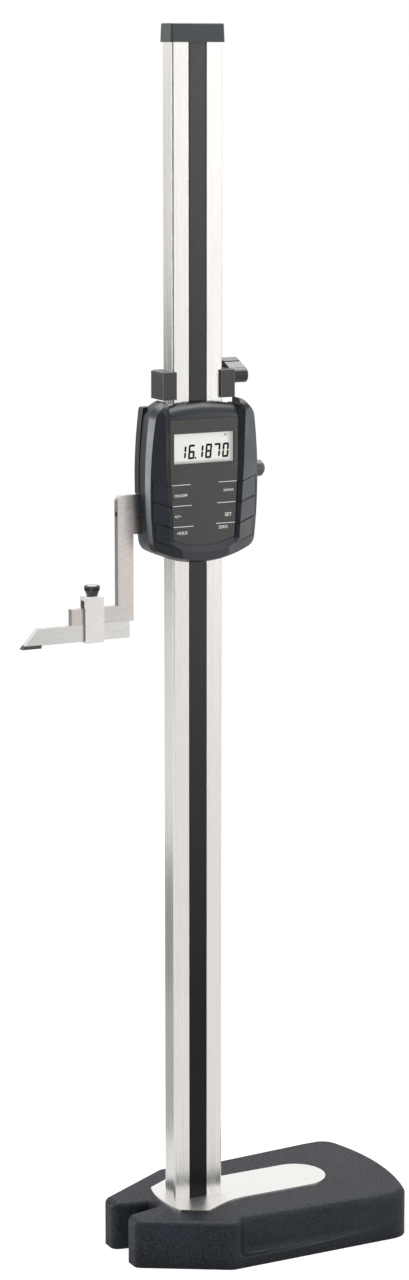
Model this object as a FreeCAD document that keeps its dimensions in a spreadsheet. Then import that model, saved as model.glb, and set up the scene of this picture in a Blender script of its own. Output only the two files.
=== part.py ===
import FreeCAD, Part
import Sketcher
import math
import os
import re
from FreeCAD import Vector

# Digital height gauge: a cast base, a rectangular column, and a measuring head that slides on it.
# Millimetres. X runs along the base towards its round end, -Y is the display side, +Z is up.
# The origin is on the surface plate, on the axis of the column.

doc = FreeCAD.newDocument("height_gauge")
sheet = doc.addObject("Spreadsheet::Sheet", "Sizes")
SIZES = {
    # Fits and clearances
    "running": 0.05,  # clearance of a sliding or turning fit, on each side
    "gap": 0.3,  # clearance between curved or loosely fitted neighbours
    "seam": 0.15,  # clearance round a plate in its recess
    # Base casting
    "base_height": 32.3,  # top of the casting above the surface plate
    "base_half": 56,  # half width of the casting
    "base_left": 54,  # reach of the toes beyond the column axis
    "base_right": 142,  # reach of the round end beyond the column axis
    "shoulder": 1,  # where the slanted sides meet the long sides
    "side_slant": 30,  # angle of the slanted sides, degrees
    "end_radius": 150,  # radius of the round end
    "corner_radius": 14,  # plan radius of the two corners at the round end
    "toe_radius": 5,  # plan radius of the toes
    "shoulder_radius": 6,  # plan radius where the slanted sides start
    "notch_mouth": 10.5,  # half width of the notch between the toes at its mouth
    "notch_bottom": 4.5,  # half width of the notch at its inner end
    "notch_end": 27.5,  # inner end of the notch, from the column axis
    "notch_bevel": 2.5,  # bevel of the corners at the inner end of the notch
    "top_round": 4.5,  # radius along the top edge of the casting
    "grip_floor": 7,  # height of the ledge under the finger grip
    "grip_depth": 6.5,  # depth of the finger grip at its deep end
    "grip_cove": 5,  # radius between the grip's wall and its ledge
    "grip_start": 4,  # start of the finger grip
    "grip_run": 10,  # length over which the grip gets deep
    "grip_turn": 2.5,  # length of the gentler start and end of that run
    "grip_turn_depth": 1.1,  # depth gained over each of them
    "grip_end": 116,  # where the grip has faded out
    "sole_rim": 13,  # width of the lapped rim under the casting
    "sole_toe": 18.2,  # width of the rim under the toes
    "sole_depth": 2,  # relief of the underside inside the rim
    # Ground pad let into the casting
    "pad_rise": 1.3,  # height of the pad above the casting
    "pad_sink": 2.2,  # depth of the pad's seat in the casting
    "pad_left": 24.2,  # reach of the pad towards the toes
    "pad_corner_x": 20.4,  # left corners of the pad, from the column axis
    "pad_corner_y": 22.6,  # left corners of the pad, from the centre plane
    "pad_end_bow": 65,  # radius of the pad's left end
    "pad_shoulder_x": 4.5,  # widest point of the pad, from the column axis
    "pad_half": 31.8,  # half width of the pad at its widest
    "pad_neck_x": 12,  # where the pad starts to blend into its bar
    "pad_neck_y": 23.6,  # half width of the pad there
    "pad_blend": 42,  # radius of that blend
    "pad_bar_x": 30,  # where the straight bar of the pad starts
    "pad_bar": 20.3,  # half width of the bar, and radius of its round end
    "pad_right": 97,  # reach of the pad's round end
    # Column and what is on it
    "column_width": 34.8,  # column, across the display side
    "column_depth": 14.06,  # column, front to back
    "column_bevel": 0.8,  # bevel along the column's edges
    "cap_low": 782.6,  # underside of the cap above the surface plate
    "cap_height": 11.4,  # height of the cap
    "cap_over": 1.3,  # overhang of the cap at its rim
    "cap_draft": 0.5,  # how much narrower the cap is at its top, on each side
    "cap_skirt": 7.4,  # length of column inside the cap
    "strip_width": 12.6,  # scale strip, width
    "strip_thick": 0.6,  # scale strip, thickness
    "strip_proud": 0.1,  # how far the strip stands out of its groove
    "bolt_radius": 3,  # column bolt, shank radius
    "bolt_head_radius": 5,  # column bolt, head radius
    "bolt_head_height": 6,  # column bolt, head height
    "bolt_spacing": 18,  # distance between the two column bolts
    "bolt_socket": 2.4,  # column bolt, radius of the hexagonal socket's corners
    "bolt_grip": 16,  # length of bolt inside the column
    "bolt_recess": 10,  # underside of the bolt heads above the surface plate
    "cap_screw_radius": 1.5,  # cap screw, shank radius
    "cap_screw_head": 2.8,  # cap screw, head radius
    "cap_screw_reach": 5,  # cap screw, length in the column
    "cap_screw_spread": 20,  # distance between the cap screws
    # Measuring head: heights are above the scriber's point, which is at the reading
    "reading": 411.15,  # height of the scriber's point above the surface plate
    "frame_low": 54,  # slider frame, bottom
    "frame_high": 146,  # slider frame, top
    "frame_half": 25.8,  # slider frame, half width
    "frame_rear": 12.5,  # slider frame, back face
    "lip_reach": 1.8,  # how far a lip covers the column's front, on each side
    "lip_thick": 2,  # thickness of a lip
    "gib_thick": 2,  # gib strip, thickness
    "gib_width": 10,  # gib strip, width
    "gib_inset": 3,  # gib strip, set back from the ends of the frame
    "gib_screw_radius": 1.5,  # gib screw, radius
    "gib_screw_pitch": 26,  # distance between neighbouring gib screws
    "gib_screw_low": 10,  # lowest gib screw above the bottom of the frame
    # Jaw
    "jaw_thick": 5,  # jaw plate, thickness
    "jaw_left": 53.8,  # outer edge of the upright limb, from the column axis
    "jaw_limb": 10.8,  # width of the upright limb
    "jaw_top": 92.65,  # top of the jaw
    "jaw_step": 67.6,  # underside of the jaw's arm at the head
    "jaw_corner": 4,  # radius of the jaw's outer corner
    "jaw_root": 19.6,  # inner end of the jaw in the slider frame
    "foot_left": 86,  # free end of the jaw's foot, from the column axis
    "foot_height": 10.2,  # height of the foot
    "accessory_radius": 1.9,  # tapped hole in the jaw's edge, radius
    "accessory_depth": 10,  # tapped hole in the jaw's edge, depth
    "accessory_drop": 12.1,  # tapped hole below the top of the jaw
    "jaw_screw_radius": 1.25,  # jaw screw, radius
    "jaw_screw_head": 2.3,  # jaw screw, head radius
    "jaw_screw_sink": 2.5,  # depth of the jaw screw's counterbore
    "jaw_screw_spread": 13,  # distance between the jaw screws
    # Scriber and its clamp
    "scriber_lift": 1.85,  # underside of the scriber above its point
    "scriber_height": 10.7,  # scriber, height
    "scriber_tip": 119.7,  # scriber's point, from the column axis
    "scriber_top": 108.5,  # upper end of the scriber's slanted end
    "scriber_right": 45.8,  # square end of the scriber
    "tip_right": 106.7,  # square end of the hard tip
    "tip_height": 2.3,  # hard tip, height
    "clamp_centre": 70.8,  # clamp, from the column axis
    "clamp_width": 13.1,  # clamp, along the scriber
    "clamp_side": 1.6,  # clamp, thickness of its side walls
    "clamp_floor": 1.2,  # clamp, thickness of its floor
    "clamp_head": 4.9,  # free height inside the clamp above the jaw's foot
    "clamp_roof": 2.6,  # clamp, thickness of its roof
    "screw_radius": 2,  # clamp screw, shank radius
    "screw_head_radius": 5,  # clamp screw, head radius
    "screw_neck_radius": 3.4,  # clamp screw, radius under its cone
    "screw_cone": 3,  # clamp screw, height of the cone under its head
    "screw_head_height": 3.2,  # clamp screw, height of the knurled head
    # Housing of the head
    "house_low": 48.05,  # housing, lowest point
    "house_high": 151.3,  # housing, top of the side ridges
    "house_sole": 70,  # radius of the housing's bottom edge
    "house_foot_x": 31.5,  # end of the bottom edge
    "house_side_low": 62.9,  # lower end of the housing's side
    "house_half_low": 37,  # half width there
    "house_side_high": 139.6,  # upper end of the housing's side
    "house_half_high": 36.6,  # half width there
    "house_side_bow": 320,  # radius of the housing's sides
    "house_heel": 9,  # radius of the lower corners
    "house_crown_x": 26.3,  # end of the flat top
    "house_crown": 13,  # radius of the upper corners
    "seam_y": 3.2,  # plane where the two housing shells meet, in front of the centre plane
    "band_y": 11.5,  # front end of the housing's straight side wall
    "front_y": 18.7,  # front of the housing
    "front_taper": 17,  # slant of the side wall's front part, degrees
    "wing_fall": 0.154,  # how far a wing falls back for each millimetre away from its crest
    "wing_crest": 27.7,  # crest of a wing at the top of the label, from the centre plane
    "wing_lean": 0.021,  # how far a wing leans back for each millimetre below there
    "field_y": 16,  # plane of the sunken field, and front of the label
    "field_flare": 55,  # slant of the facets round the field, degrees
    "ridge_round": 8,  # radius over the top of the ridges
    "roll_round": 9,  # radius over the top of the field
    "roll_bow": 120,  # radius of the arched top between the ridges
    "roll_half": 25,  # half width of the arched top
    "roll_high": 150.3,  # top of the housing between the ridges
    "wall": 2.2,  # wall of the housing shells
    "cavity_y": 13.7,  # front end of the hollow in the front shell
    "throat_half": 26.2,  # half width of the way through the housing
    "throat_front": 9.3,  # front of the way through the housing
    "rear_y": 3,  # back of the rear shell's flanges
    "hump_y": 15.2,  # back of the rear shell
    "hump_low": 57,  # rear shell's hump, bottom
    "hump_high": 128,  # rear shell's hump, top
    "hump_half": 28.6,  # rear shell's hump, half width
    "hump_round": 2,  # radius of the hump's upright edges
    "rear_high": 147.4,  # top of the rear shell
    "rear_corner": 1.5,  # radius of the rear shell's upper corners
    "shell_screw_x": 31.5,  # shell screws, from the centre plane
    "shell_screw_low": 112,  # lower shell screws
    "shell_screw_high": 136,  # upper shell screws
    "shell_screw_radius": 1.2,  # shell screw, radius
    "shell_screw_head": 2.1,  # shell screw, head radius
    "shell_screw_sink": 1.2,  # depth of the shell screw's head in the rear shell
    "post_half": 2.6,  # screw posts, half width
    # Display and electronics
    "label_thick": 0.5,  # label, thickness
    "label_low": 59.65,  # label, lower edge at its middle
    "label_half_low": 21.5,  # label, half width at its lower corners
    "label_half": 23.8,  # label, half width beside the display
    "label_widen": 108.9,  # height from which the label's sides run straight up
    "label_sag": 56,  # radius of the label's lower edge
    "label_high": 139.8,  # label, upper edge
    "glass_half": 20.9,  # display window, half width
    "glass_low": 111.8,  # display window, bottom
    "glass_high": 130.8,  # display window, top
    "glass_front": 15.9,  # front of the display window
    "glass_thick": 0.75,  # display window, thickness
    "module_margin": 2.1,  # how much the display module is larger than its window, on each side
    "module_rear": 11.75,  # back of the display module
    "board_front": 11.7,  # front of the circuit board
    "board_thick": 1.2,  # circuit board, thickness
    "board_half": 34,  # circuit board, half width at the keys
    "board_neck": 26,  # circuit board, half width behind the display
    "board_low": 62,  # circuit board, bottom
    "board_step": 103,  # height of the circuit board's step
    "board_high": 134,  # circuit board, top
    "sensor_back": 7.5,  # back of the sensor, facing the scale strip
    "sensor_half": 15.2,  # sensor, half width
    "sensor_plate_half": 24,  # sensor board, half width
    "sensor_plate": 1,  # sensor board, thickness
    "sensor_low": 74,  # sensor, bottom
    "sensor_high": 128,  # sensor, top
    # Keys
    "key_outer": 36,  # outer end of a key, from the centre plane
    "key_trim": 1.6,  # how much shorter the lowest keys are
    "key_low": 59.2,  # underside of a full key in the lowest place, at its inner end
    "key_cut": 1.0,  # how much less high the lowest keys are
    "key_pitch": 13.3,  # distance from key to key
    "key_height": 12.1,  # height of a key
    "key_rise": 4.2,  # how far a key rises towards its outer end
    "key_proud": 0.25,  # how far a key stands out of its wing and of the facet beside it
    "key_gap": 0.3,  # gap round a key
    "key_flange": 0.9,  # thickness and reach of the flange that keeps a key in
    "dome_radius": 2,  # switch dome, radius
    "dome_height": 0.5,  # switch dome, height
    # Battery
    "cell_radius": 10,  # coin cell, radius
    "cell_thick": 1.6,  # coin cell, thickness
    "cell_height": 63,  # centre of the coin cell
    "tray_half": 12.4,  # battery tray, half width
    "tray_front": 13.4,  # battery tray, front
    "tray_thick": 3,  # battery tray, thickness
    "tray_inset": 0.6,  # battery tray, set in from the housing's edge
    "tray_high": 74,  # battery tray, top
    "contact_half": 3,  # battery contact, half width
    "contact_height": 1.4,  # battery contact, height
    # Lock of the head
    "lock_height": 103.95,  # axis of the lock knob
    "lock_shaft": 2.5,  # lock knob, shaft radius
    "lock_radius": 5.2,  # lock knob, radius
    "lock_end": 49.8,  # free end of the lock knob
    "lock_length": 9.8,  # length of the knob outside the housing
    "lock_dome": 1.8,  # rounding of the knob's free end
    "pad_plug": 1.5,  # thickness of the brass plugs that press on the column
    # Fine-adjustment carriage above the head
    "carriage_low": 151.6,  # carriage, bottom
    "carriage_height": 17.4,  # carriage, height
    "carriage_half": 25.2,  # carriage, half width
    "carriage_back": 8.2,  # back of the carriage's cheeks
    "bridge_half": 22,  # carriage bridge, half width
    "bridge_back": 12,  # back of the carriage bridge
    "oil_radius": 0.9,  # oil hole in the carriage's left cheek, radius
    "oil_depth": 3,  # oil hole, depth
    "boss_half": 9,  # nut boss, half width
    "boss_back": 19.5,  # back of the nut boss
    "feed_y": 15.5,  # axis of the feed screw behind the centre plane
    "feed_radius": 2,  # feed screw, radius
    "feed_over": 26,  # length of feed screw above the bottom of the carriage
    "nut_radius": 6.5,  # feed nut, radius
    "nut_height": 6,  # feed nut, height
    "nut_lift": 5.2,  # feed nut above the bottom of the carriage
    "lug_half": 7,  # lug that holds the feed screw, half width
    "lug_height": 12,  # lug that holds the feed screw, height
    "lever_radius": 4.8,  # lever hub, radius
    "lever_lift": 12.7,  # axis of the lever above the bottom of the carriage
    "lever_end": 36.9,  # free end of the lever hub
    "lever_stud": 2,  # lever stud, radius
    "lever_front": 1.3,  # front of the finger tab, before the lever's axis
    "lever_rise": 7.9,  # height of the finger tab's crest over the axis
    "lever_crest": 6.4,  # crest of the finger tab behind the axis
    "lever_back": 12,  # back of the finger tab behind the axis
    "lever_lip": 10.2,  # height of the tab's back lip over the axis
    "lever_under": 4.8,  # underside of the tab's back over the axis
    "lever_step": 0.9,  # depth of the groove in front of the lip
}
for row, (alias, number) in enumerate(SIZES.items(), start=1):
    sheet.set(f"A{row}", alias.replace("_", " "))
    sheet.set(f"B{row}", str(number))
    sheet.setAlias(f"B{row}", alias)
doc.recompute()


def bound(text):
    """The text of an expression, with each alias made a reference to its cell."""
    names = re.compile(r"[a-z][a-z_0-9]*")
    return names.sub(lambda m: f"Sizes.{m.group()}" if m.group() in SIZES else m.group(), text)


def value(text):
    """The number that an expression gives now."""
    result = sheet.evalExpression(bound(text))
    return float(getattr(result, "Value", result))


def bind(item, **properties):
    """Bind properties of an object to expressions."""
    for name, text in properties.items():
        item.setExpression(name.replace("__", "."), bound(text))


def move(item, x="0", y="0", z="0"):
    """Bind the place of an object."""
    bind(item, Placement__Base__x=x, Placement__Base__y=y, Placement__Base__z=z)


def block(name, x, y, z):
    """A box between pairs of bounds."""
    item = doc.addObject("Part::Box", name)
    bind(item, Length=f"({x[1]}) - ({x[0]})", Width=f"({y[1]}) - ({y[0]})", Height=f"({z[1]}) - ({z[0]})")
    move(item, x[0], y[0], z[0])
    return item


TURNS = {
    "x": FreeCAD.Rotation(Vector(0, 1, 0), 90),
    "y": FreeCAD.Rotation(Vector(1, 0, 0), -90),
    "z": FreeCAD.Rotation(),
}


def rod(name, axis, start, radius, length, end_radius=None):
    """A round rod, or a cone, from a start point along an axis."""
    kind = "Part::Cone" if end_radius else "Part::Cylinder"
    item = doc.addObject(kind, name)
    if end_radius:
        bind(item, Radius1=radius, Radius2=end_radius, Height=length)
    else:
        bind(item, Radius=radius, Height=length)
    item.Placement = FreeCAD.Placement(Vector(), TURNS[axis])
    move(item, *start)
    return item


def prism(name, axis, start, radius, length, sides=6):
    """A bar with flat sides, such as a hexagonal socket, from a start point along an axis."""
    item = doc.addObject("Part::Prism", name)
    item.Polygon = sides
    bind(item, Circumradius=radius, Height=length)
    item.Placement = FreeCAD.Placement(Vector(), TURNS[axis])
    move(item, *start)
    return item


def shank(name, axis, start, radius, length):
    """The threaded part of a screw, as a bar with twelve flats inside the thread's circle."""
    return prism(name, axis, start, radius, length, sides=12)


def fuse(name, *items):
    """One solid of several that touch or overlap."""
    item = doc.addObject("Part::MultiFuse", name)
    item.Shapes = list(items)
    item.Refine = True
    return item


def group(name, *items):
    """Separate solids that share one node."""
    item = doc.addObject("Part::Compound", name)
    item.Links = list(items)
    return item


def cut(name, base, *tools):
    """A solid less some tools."""
    item = doc.addObject("Part::Cut", name)
    item.Base = base
    item.Tool = tools[0] if len(tools) == 1 else group(f"{name}_tools", *tools)
    return item


def new_body(name):
    return doc.addObject("PartDesign::Body", name)


def sketch(body, name, role, level="0"):
    """A sketch on one of the body's origin planes, moved along the plane's normal."""
    item = body.newObject("Sketcher::SketchObject", name)
    plane = [face for face in body.Origin.OriginFeatures if face.Role == role][0]
    item.AttachmentSupport = [(plane, "")]
    item.MapMode = "FlatFace"
    bind(item, AttachmentOffset__Base__z=level)
    return item


def place_point(item, geometry, point, where):
    """Hold one point of a sketch at bound coordinates."""
    for kind, text in zip(("DistanceX", "DistanceY"), where):
        index = item.addConstraint(Sketcher.Constraint(kind, -1, 1, geometry, point, value(text)))
        item.setExpression(f"Constraints[{index}]", bound(text))


def draw(item, points):
    """A closed outline. A point is (x, y), or (x, y, radius, side) where an arc leads to it:
    side is 1 for an arc that bulges to the left of the way round, and -1 to the right."""
    starts = []
    for index, point in enumerate(points):
        before = Vector(*(value(text) for text in points[index - 1][:2]))
        here = Vector(*(value(text) for text in point[:2]))
        if len(point) == 2:
            geometry = item.addGeometry(Part.LineSegment(before, here))
            first = 1
        else:
            radius = value(point[2])
            half = (here - before) * 0.5
            reach = math.sqrt(radius ** 2 - half.Length ** 2)
            centre = before + half - Vector(-half.y, half.x).normalize() * reach * point[3]
            ends = (before, here) if point[3] < 0 else (here, before)
            angles = [math.atan2(end.y - centre.y, end.x - centre.x) for end in ends]
            circle = Part.Circle(centre, Vector(0, 0, 1), radius)
            geometry = item.addGeometry(Part.ArcOfCircle(circle, *angles))
            first = 1 if point[3] < 0 else 2
            held = item.addConstraint(Sketcher.Constraint("Radius", geometry, radius))
            item.setExpression(f"Constraints[{held}]", bound(point[2]))
        starts.append((geometry, first))
    for index, (geometry, first) in enumerate(starts):
        last, last_first = starts[index - 1]
        item.addConstraint(Sketcher.Constraint("Coincident", last, 3 - last_first, geometry, first))
        place_point(item, geometry, first, points[index - 1][:2])
    return item


def draw_circle(item, x, y, radius):
    """A circle in a sketch."""
    geometry = item.addGeometry(Part.Circle(Vector(value(x), value(y)), Vector(0, 0, 1), value(radius)))
    place_point(item, geometry, 3, (x, y))
    held = item.addConstraint(Sketcher.Constraint("Radius", geometry, value(radius)))
    item.setExpression(f"Constraints[{held}]", bound(radius))
    return item


def negative(text):
    return f"-({text})"


def mirrored(points, axis=0):
    """Half an outline, from axis to axis, with its mirror image added. The closing stretch takes
    the arc of the second point."""
    turned = []
    for index in range(len(points) - 2, 0, -1):
        place = list(points[index][:2])
        place[axis] = negative(place[axis])
        turned.append(tuple(place) + tuple(points[index + 1][2:]))
    first = tuple(points[0][:2]) + tuple(points[1][2:])
    return [first] + list(points[1:]) + turned


def pad(body, name, profile, length, taper=None):
    """A sketch made solid along its normal."""
    item = body.newObject("PartDesign::Pad", name)
    item.Profile = profile
    bind(item, Length=length)
    if taper:
        bind(item, TaperAngle=taper)
    doc.recompute()
    return item


def pocket(body, name, profile, length, reverse=False, both=False, taper=None):
    """A sketch cut out of the body, against the sketch's normal unless reversed."""
    item = body.newObject("PartDesign::Pocket", name)
    item.Profile = profile
    bind(item, Length=length)
    item.Reversed = reverse
    item.Midplane = both
    if taper:
        bind(item, TaperAngle=taper)
    doc.recompute()
    return item


def lean(item, direction, slope):
    """Make a pocket run off its sketch's normal, with a slope in Y."""
    item.UseCustomVector = True
    item.Direction = direction
    item.setExpression("Direction.y", bound(slope))
    doc.recompute()


def bore(body, name, plane, level, place, radius, depth, reverse=False):
    """A round hole, cut against the normal of a plane from a level, or along it."""
    ring = draw_circle(sketch(body, f"{name}Circle", plane, level), *place, radius)
    return pocket(body, name, ring, depth, reverse=reverse)


def post(body, name, plane, level, place, half, length):
    """A square post that stands on a plane."""
    x, z = place
    corners = [(f"{x} + {across} * {half}", f"{z} + {rise} * {half}")
               for across, rise in ((-1, -1), (1, -1), (1, 1), (-1, 1))]
    return pad(body, name, draw(sketch(body, f"{name}Square", plane, level), corners), length)


def round_edges(body, name, radius, chosen):
    """A fillet on the edges of the body's tip that a test picks."""
    tip = body.Tip
    picked = [f"Edge{i + 1}" for i, edge in enumerate(tip.Shape.Edges) if chosen(edge)]
    item = body.newObject("PartDesign::Fillet", name)
    item.Base = (tip, picked)
    bind(item, Radius=radius)
    doc.recompute()
    return item


def bevel_edges(body, name, width, chosen):
    """A chamfer on the edges of the body's tip that a test picks."""
    tip = body.Tip
    picked = [f"Edge{i + 1}" for i, edge in enumerate(tip.Shape.Edges) if chosen(edge)]
    item = body.newObject("PartDesign::Chamfer", name)
    item.Base = (tip, picked)
    bind(item, Size=width)
    doc.recompute()
    return item


def at(edge, x=None, y=None, z=None, near=0.6):
    """Whether an edge's middle is near the given coordinates."""
    middle = edge.valueAt((edge.FirstParameter + edge.LastParameter) / 2)
    wanted = ((middle.x, x), (middle.y, y), (middle.z, z))
    return all(text is None or abs(have - value(text)) < near for have, text in wanted)


def along(edge, axis):
    """Whether an edge is straight and runs along an axis."""
    first, last = edge.Vertexes[0].Point, edge.Vertexes[-1].Point
    span = last - first
    return isinstance(edge.Curve, Part.Line) and abs(getattr(span, axis)) > span.Length - 1e-6


def up(text):
    """A height in the measuring head, which rides with the scriber's point."""
    return f"reading + {text}"


NODES = []


def node(name, item):
    """Name a finished sub-part, which is written to its own file."""
    item.Label = name
    NODES.append(item)
    return item


COLUMN_X = "column_width / 2"
COLUMN_Y = "column_depth / 2"
PAD_TOP = "base_height + pad_rise"
SLANT = "tan(side_slant * 1 deg)"
LEVER_Z = "carriage_low + lever_lift"
LABEL_CORNER = "label_low + label_sag - sqrt(label_sag ^ 2 - label_half_low ^ 2)"


def base_outline():
    """Half the casting's plan, from the notch round the toe and the long side to the round end."""
    toe_y = f"base_half - (base_left + shoulder) * {SLANT}"
    end_x = "base_right - end_radius + sqrt(end_radius ^ 2 - base_half ^ 2)"
    return [
        ("-notch_end", "0"),
        ("-notch_end", "notch_bottom"),
        ("-base_left", "notch_mouth"),
        ("-base_left", toe_y),
        ("shoulder", "base_half"),
        (end_x, "base_half"),
        ("base_right", "0", "end_radius", 1),
    ]


def grip_section(side, sunk):
    """What a finger grip takes from one long side, cut across: ledge, cove, wall and rounded top edge."""
    wall = f"base_half + gap - ({sunk})"
    turn = int(side)
    points = [
        ("base_half + grip_depth", "grip_floor"),
        (f"{wall} + grip_cove", "grip_floor"),
        (wall, "grip_floor + grip_cove", "grip_cove", turn),
        (wall, "base_height - top_round"),
        (f"{wall} - top_round", "base_height", "top_round", -turn),
        (f"{wall} - top_round", "base_height + top_round"),
        ("base_half + grip_depth", "base_height + top_round"),
    ]
    return [(f"{side} * ({point[0]})",) + point[1:] for point in points]


def cut_grip(body, name, side):
    """Sink a finger grip: it gets deep over a short run and fades out slowly."""
    full = "grip_depth + gap"
    stations = [
        ("grip_start", "0"),
        ("grip_start + grip_turn", "grip_turn_depth"),
        ("grip_start + grip_run - grip_turn", f"{full} - grip_turn_depth"),
        ("grip_start + grip_run", full),
        ("grip_end", "0"),
    ]
    for index in range(len(stations) - 1):
        (start, sunk), (end, next_sunk) = stations[index:index + 2]
        cross = draw(sketch(body, f"{name}Cross{index}", "YZ_Plane", start), grip_section(side, sunk))
        slope = f"-({side}) * ({next_sunk} - ({sunk})) / ({end} - ({start}))"
        stretch = pocket(body, f"{name}{index}", cross, f"{end} - ({start})")
        lean(stretch, Vector(1, value(slope), 0), slope)


def pad_outline(spread):
    """Half the ground pad's plan, grown by a clearance."""
    return [
        (f"-pad_left - {spread}", "0"),
        (f"-pad_corner_x - {spread}", f"pad_corner_y + {spread}", f"pad_end_bow + {spread}", 1),
        (f"-pad_shoulder_x", f"pad_half + {spread}"),
        (f"pad_neck_x", f"pad_neck_y + {spread}"),
        (f"pad_bar_x", f"pad_bar + {spread}", "pad_blend", -1),
        (f"pad_right - pad_bar", f"pad_bar + {spread}"),
        (f"pad_right + {spread}", "0", f"pad_bar + {spread}", 1),
    ]


def make_base():
    """The casting: notch for the jaw, finger grips, seat for the pad and bolt holes."""
    body = new_body("BaseCasting")
    plan = draw(sketch(body, "BasePlan", "XY_Plane"), mirrored(base_outline(), axis=1))
    pad(body, "BaseBlock", plan, "base_height")

    def corner(x, y, radius, name):
        chosen = lambda edge: along(edge, "z") and (at(edge, x, y) or at(edge, x, negative(y)))
        round_edges(body, name, radius, chosen)

    toe_y = f"base_half - (base_left + shoulder) * {SLANT}"
    end_x = "base_right - end_radius + sqrt(end_radius ^ 2 - base_half ^ 2)"
    notch_end = lambda edge: along(edge, "z") and at(edge, "-notch_end", near=0.01)
    bevel_edges(body, "NotchEnd", "notch_bevel", notch_end)
    corner("-base_left", "notch_mouth", "toe_radius", "ToeInside")
    corner("-base_left", toe_y, "toe_radius", "ToeOutside")
    corner("shoulder", "base_half", "shoulder_radius", "Shoulders")
    corner(end_x, "base_half", "corner_radius", "EndCorners")
    top = lambda edge: at(edge, z="base_height", near=0.01)
    round_edges(body, "TopRound", "top_round", top)
    cut_grip(body, "BackGrip", "1")
    cut_grip(body, "FrontGrip", "-1")
    seat = draw(sketch(body, "PadSeatPlan", "XY_Plane", "base_height"),
                mirrored(pad_outline("seam"), axis=1))
    pocket(body, "PadSeat", seat, "pad_sink")
    sole = [
        ("-notch_end + sole_rim", "0"),
        ("-notch_end + sole_rim", "base_half - sole_toe"),
        ("shoulder", "base_half - sole_rim"),
        ("base_right - 2 * sole_rim", "base_half - sole_rim"),
        ("base_right - sole_rim", "0"),
    ]
    plan = draw(sketch(body, "SolePlan", "XY_Plane"), mirrored(sole, axis=1))
    pocket(body, "Sole", plan, "sole_depth", reverse=True)
    for index, side in enumerate(("-1", "1")):
        bore(body, f"BoltWay{index}", "XY_Plane", "0", (f"{side} * bolt_spacing / 2", "0"),
             "bolt_radius + gap", "base_height", reverse=True)
        bore(body, f"BoltRecess{index}", "XY_Plane", "0", (f"{side} * bolt_spacing / 2", "0"),
             "bolt_head_radius + gap", "bolt_recess + bolt_head_height", reverse=True)
    node("base_casting", body)


def make_pad():
    """The ground pad that the column stands on."""
    body = new_body("GroundPad")
    plan = draw(sketch(body, "PadPlan", "XY_Plane", "base_height - pad_sink"),
                mirrored(pad_outline("0"), axis=1))
    pad(body, "PadPlate", plan, "pad_sink + pad_rise")
    for index, side in enumerate(("-1", "1")):
        bore(body, f"PadBoltWay{index}", "XY_Plane", PAD_TOP, (f"{side} * bolt_spacing / 2", "0"),
             "bolt_radius + gap", "pad_sink + pad_rise")
    node("ground_pad", body)


def make_column():
    """The column, with its strip, bolts, cap and cap screws."""
    body = new_body("Column")
    half = [
        ("0", f"-{COLUMN_Y}"),
        (f"{COLUMN_X} - column_bevel", f"-{COLUMN_Y}"),
        (COLUMN_X, f"-{COLUMN_Y} + column_bevel"),
        (COLUMN_X, f"{COLUMN_Y} - column_bevel"),
        (f"{COLUMN_X} - column_bevel", COLUMN_Y),
        ("0", COLUMN_Y),
    ]
    plan = draw(sketch(body, "ColumnPlan", "XY_Plane", PAD_TOP), mirrored(half))
    pad(body, "ColumnBar", plan, f"cap_low + cap_skirt - ({PAD_TOP})")
    groove = [
        ("-strip_width / 2", f"-{COLUMN_Y} - strip_thick"),
        ("strip_width / 2", f"-{COLUMN_Y} - strip_thick"),
        ("strip_width / 2", f"-{COLUMN_Y} + strip_thick - strip_proud"),
        ("-strip_width / 2", f"-{COLUMN_Y} + strip_thick - strip_proud"),
    ]
    plan = draw(sketch(body, "StripGroovePlan", "XY_Plane", PAD_TOP), groove)
    pocket(body, "StripGroove", plan, "cap_low + cap_skirt", reverse=True)
    for index, side in enumerate(("-1", "1")):
        bore(body, f"TappedWay{index}", "XY_Plane", PAD_TOP, (f"{side} * bolt_spacing / 2", "0"),
             "bolt_radius + running", "bolt_grip + gap", reverse=True)
        bore(body, f"CapScrewWay{index}", "XZ_Plane", f"-{COLUMN_Y}",
             (f"{side} * cap_screw_spread / 2", "cap_low + cap_skirt / 2"),
             "cap_screw_radius + running", "cap_screw_reach + gap", reverse=True)
    node("column", body)
    strip_y = (f"-{COLUMN_Y} - strip_proud", f"-{COLUMN_Y} + strip_thick - strip_proud")
    strip = block("ScaleStrip", ("-strip_width / 2", "strip_width / 2"), strip_y,
                  (PAD_TOP, "cap_low + cap_skirt"))
    node("scale_strip", strip)
    bolts = []
    for index, side in enumerate(("-1", "1")):
        x = f"{side} * bolt_spacing / 2"
        shank_low = "bolt_recess + bolt_head_height"
        head = rod(f"BoltHead{index}", "z", (x, "0", "bolt_recess"), "bolt_head_radius", "bolt_head_height")
        thread = shank(f"BoltShank{index}", "z", (x, "0", shank_low), "bolt_radius",
                       f"{PAD_TOP} + bolt_grip - ({shank_low})")
        socket = prism(f"BoltSocket{index}", "z", (x, "0", "bolt_recess"), "bolt_socket",
                       "bolt_head_height / 2")
        bolts.append(cut(f"ColumnBolt{index}", fuse(f"BoltBlank{index}", head, thread), socket))
    node("column_bolts", group("ColumnBolts", *bolts))


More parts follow.
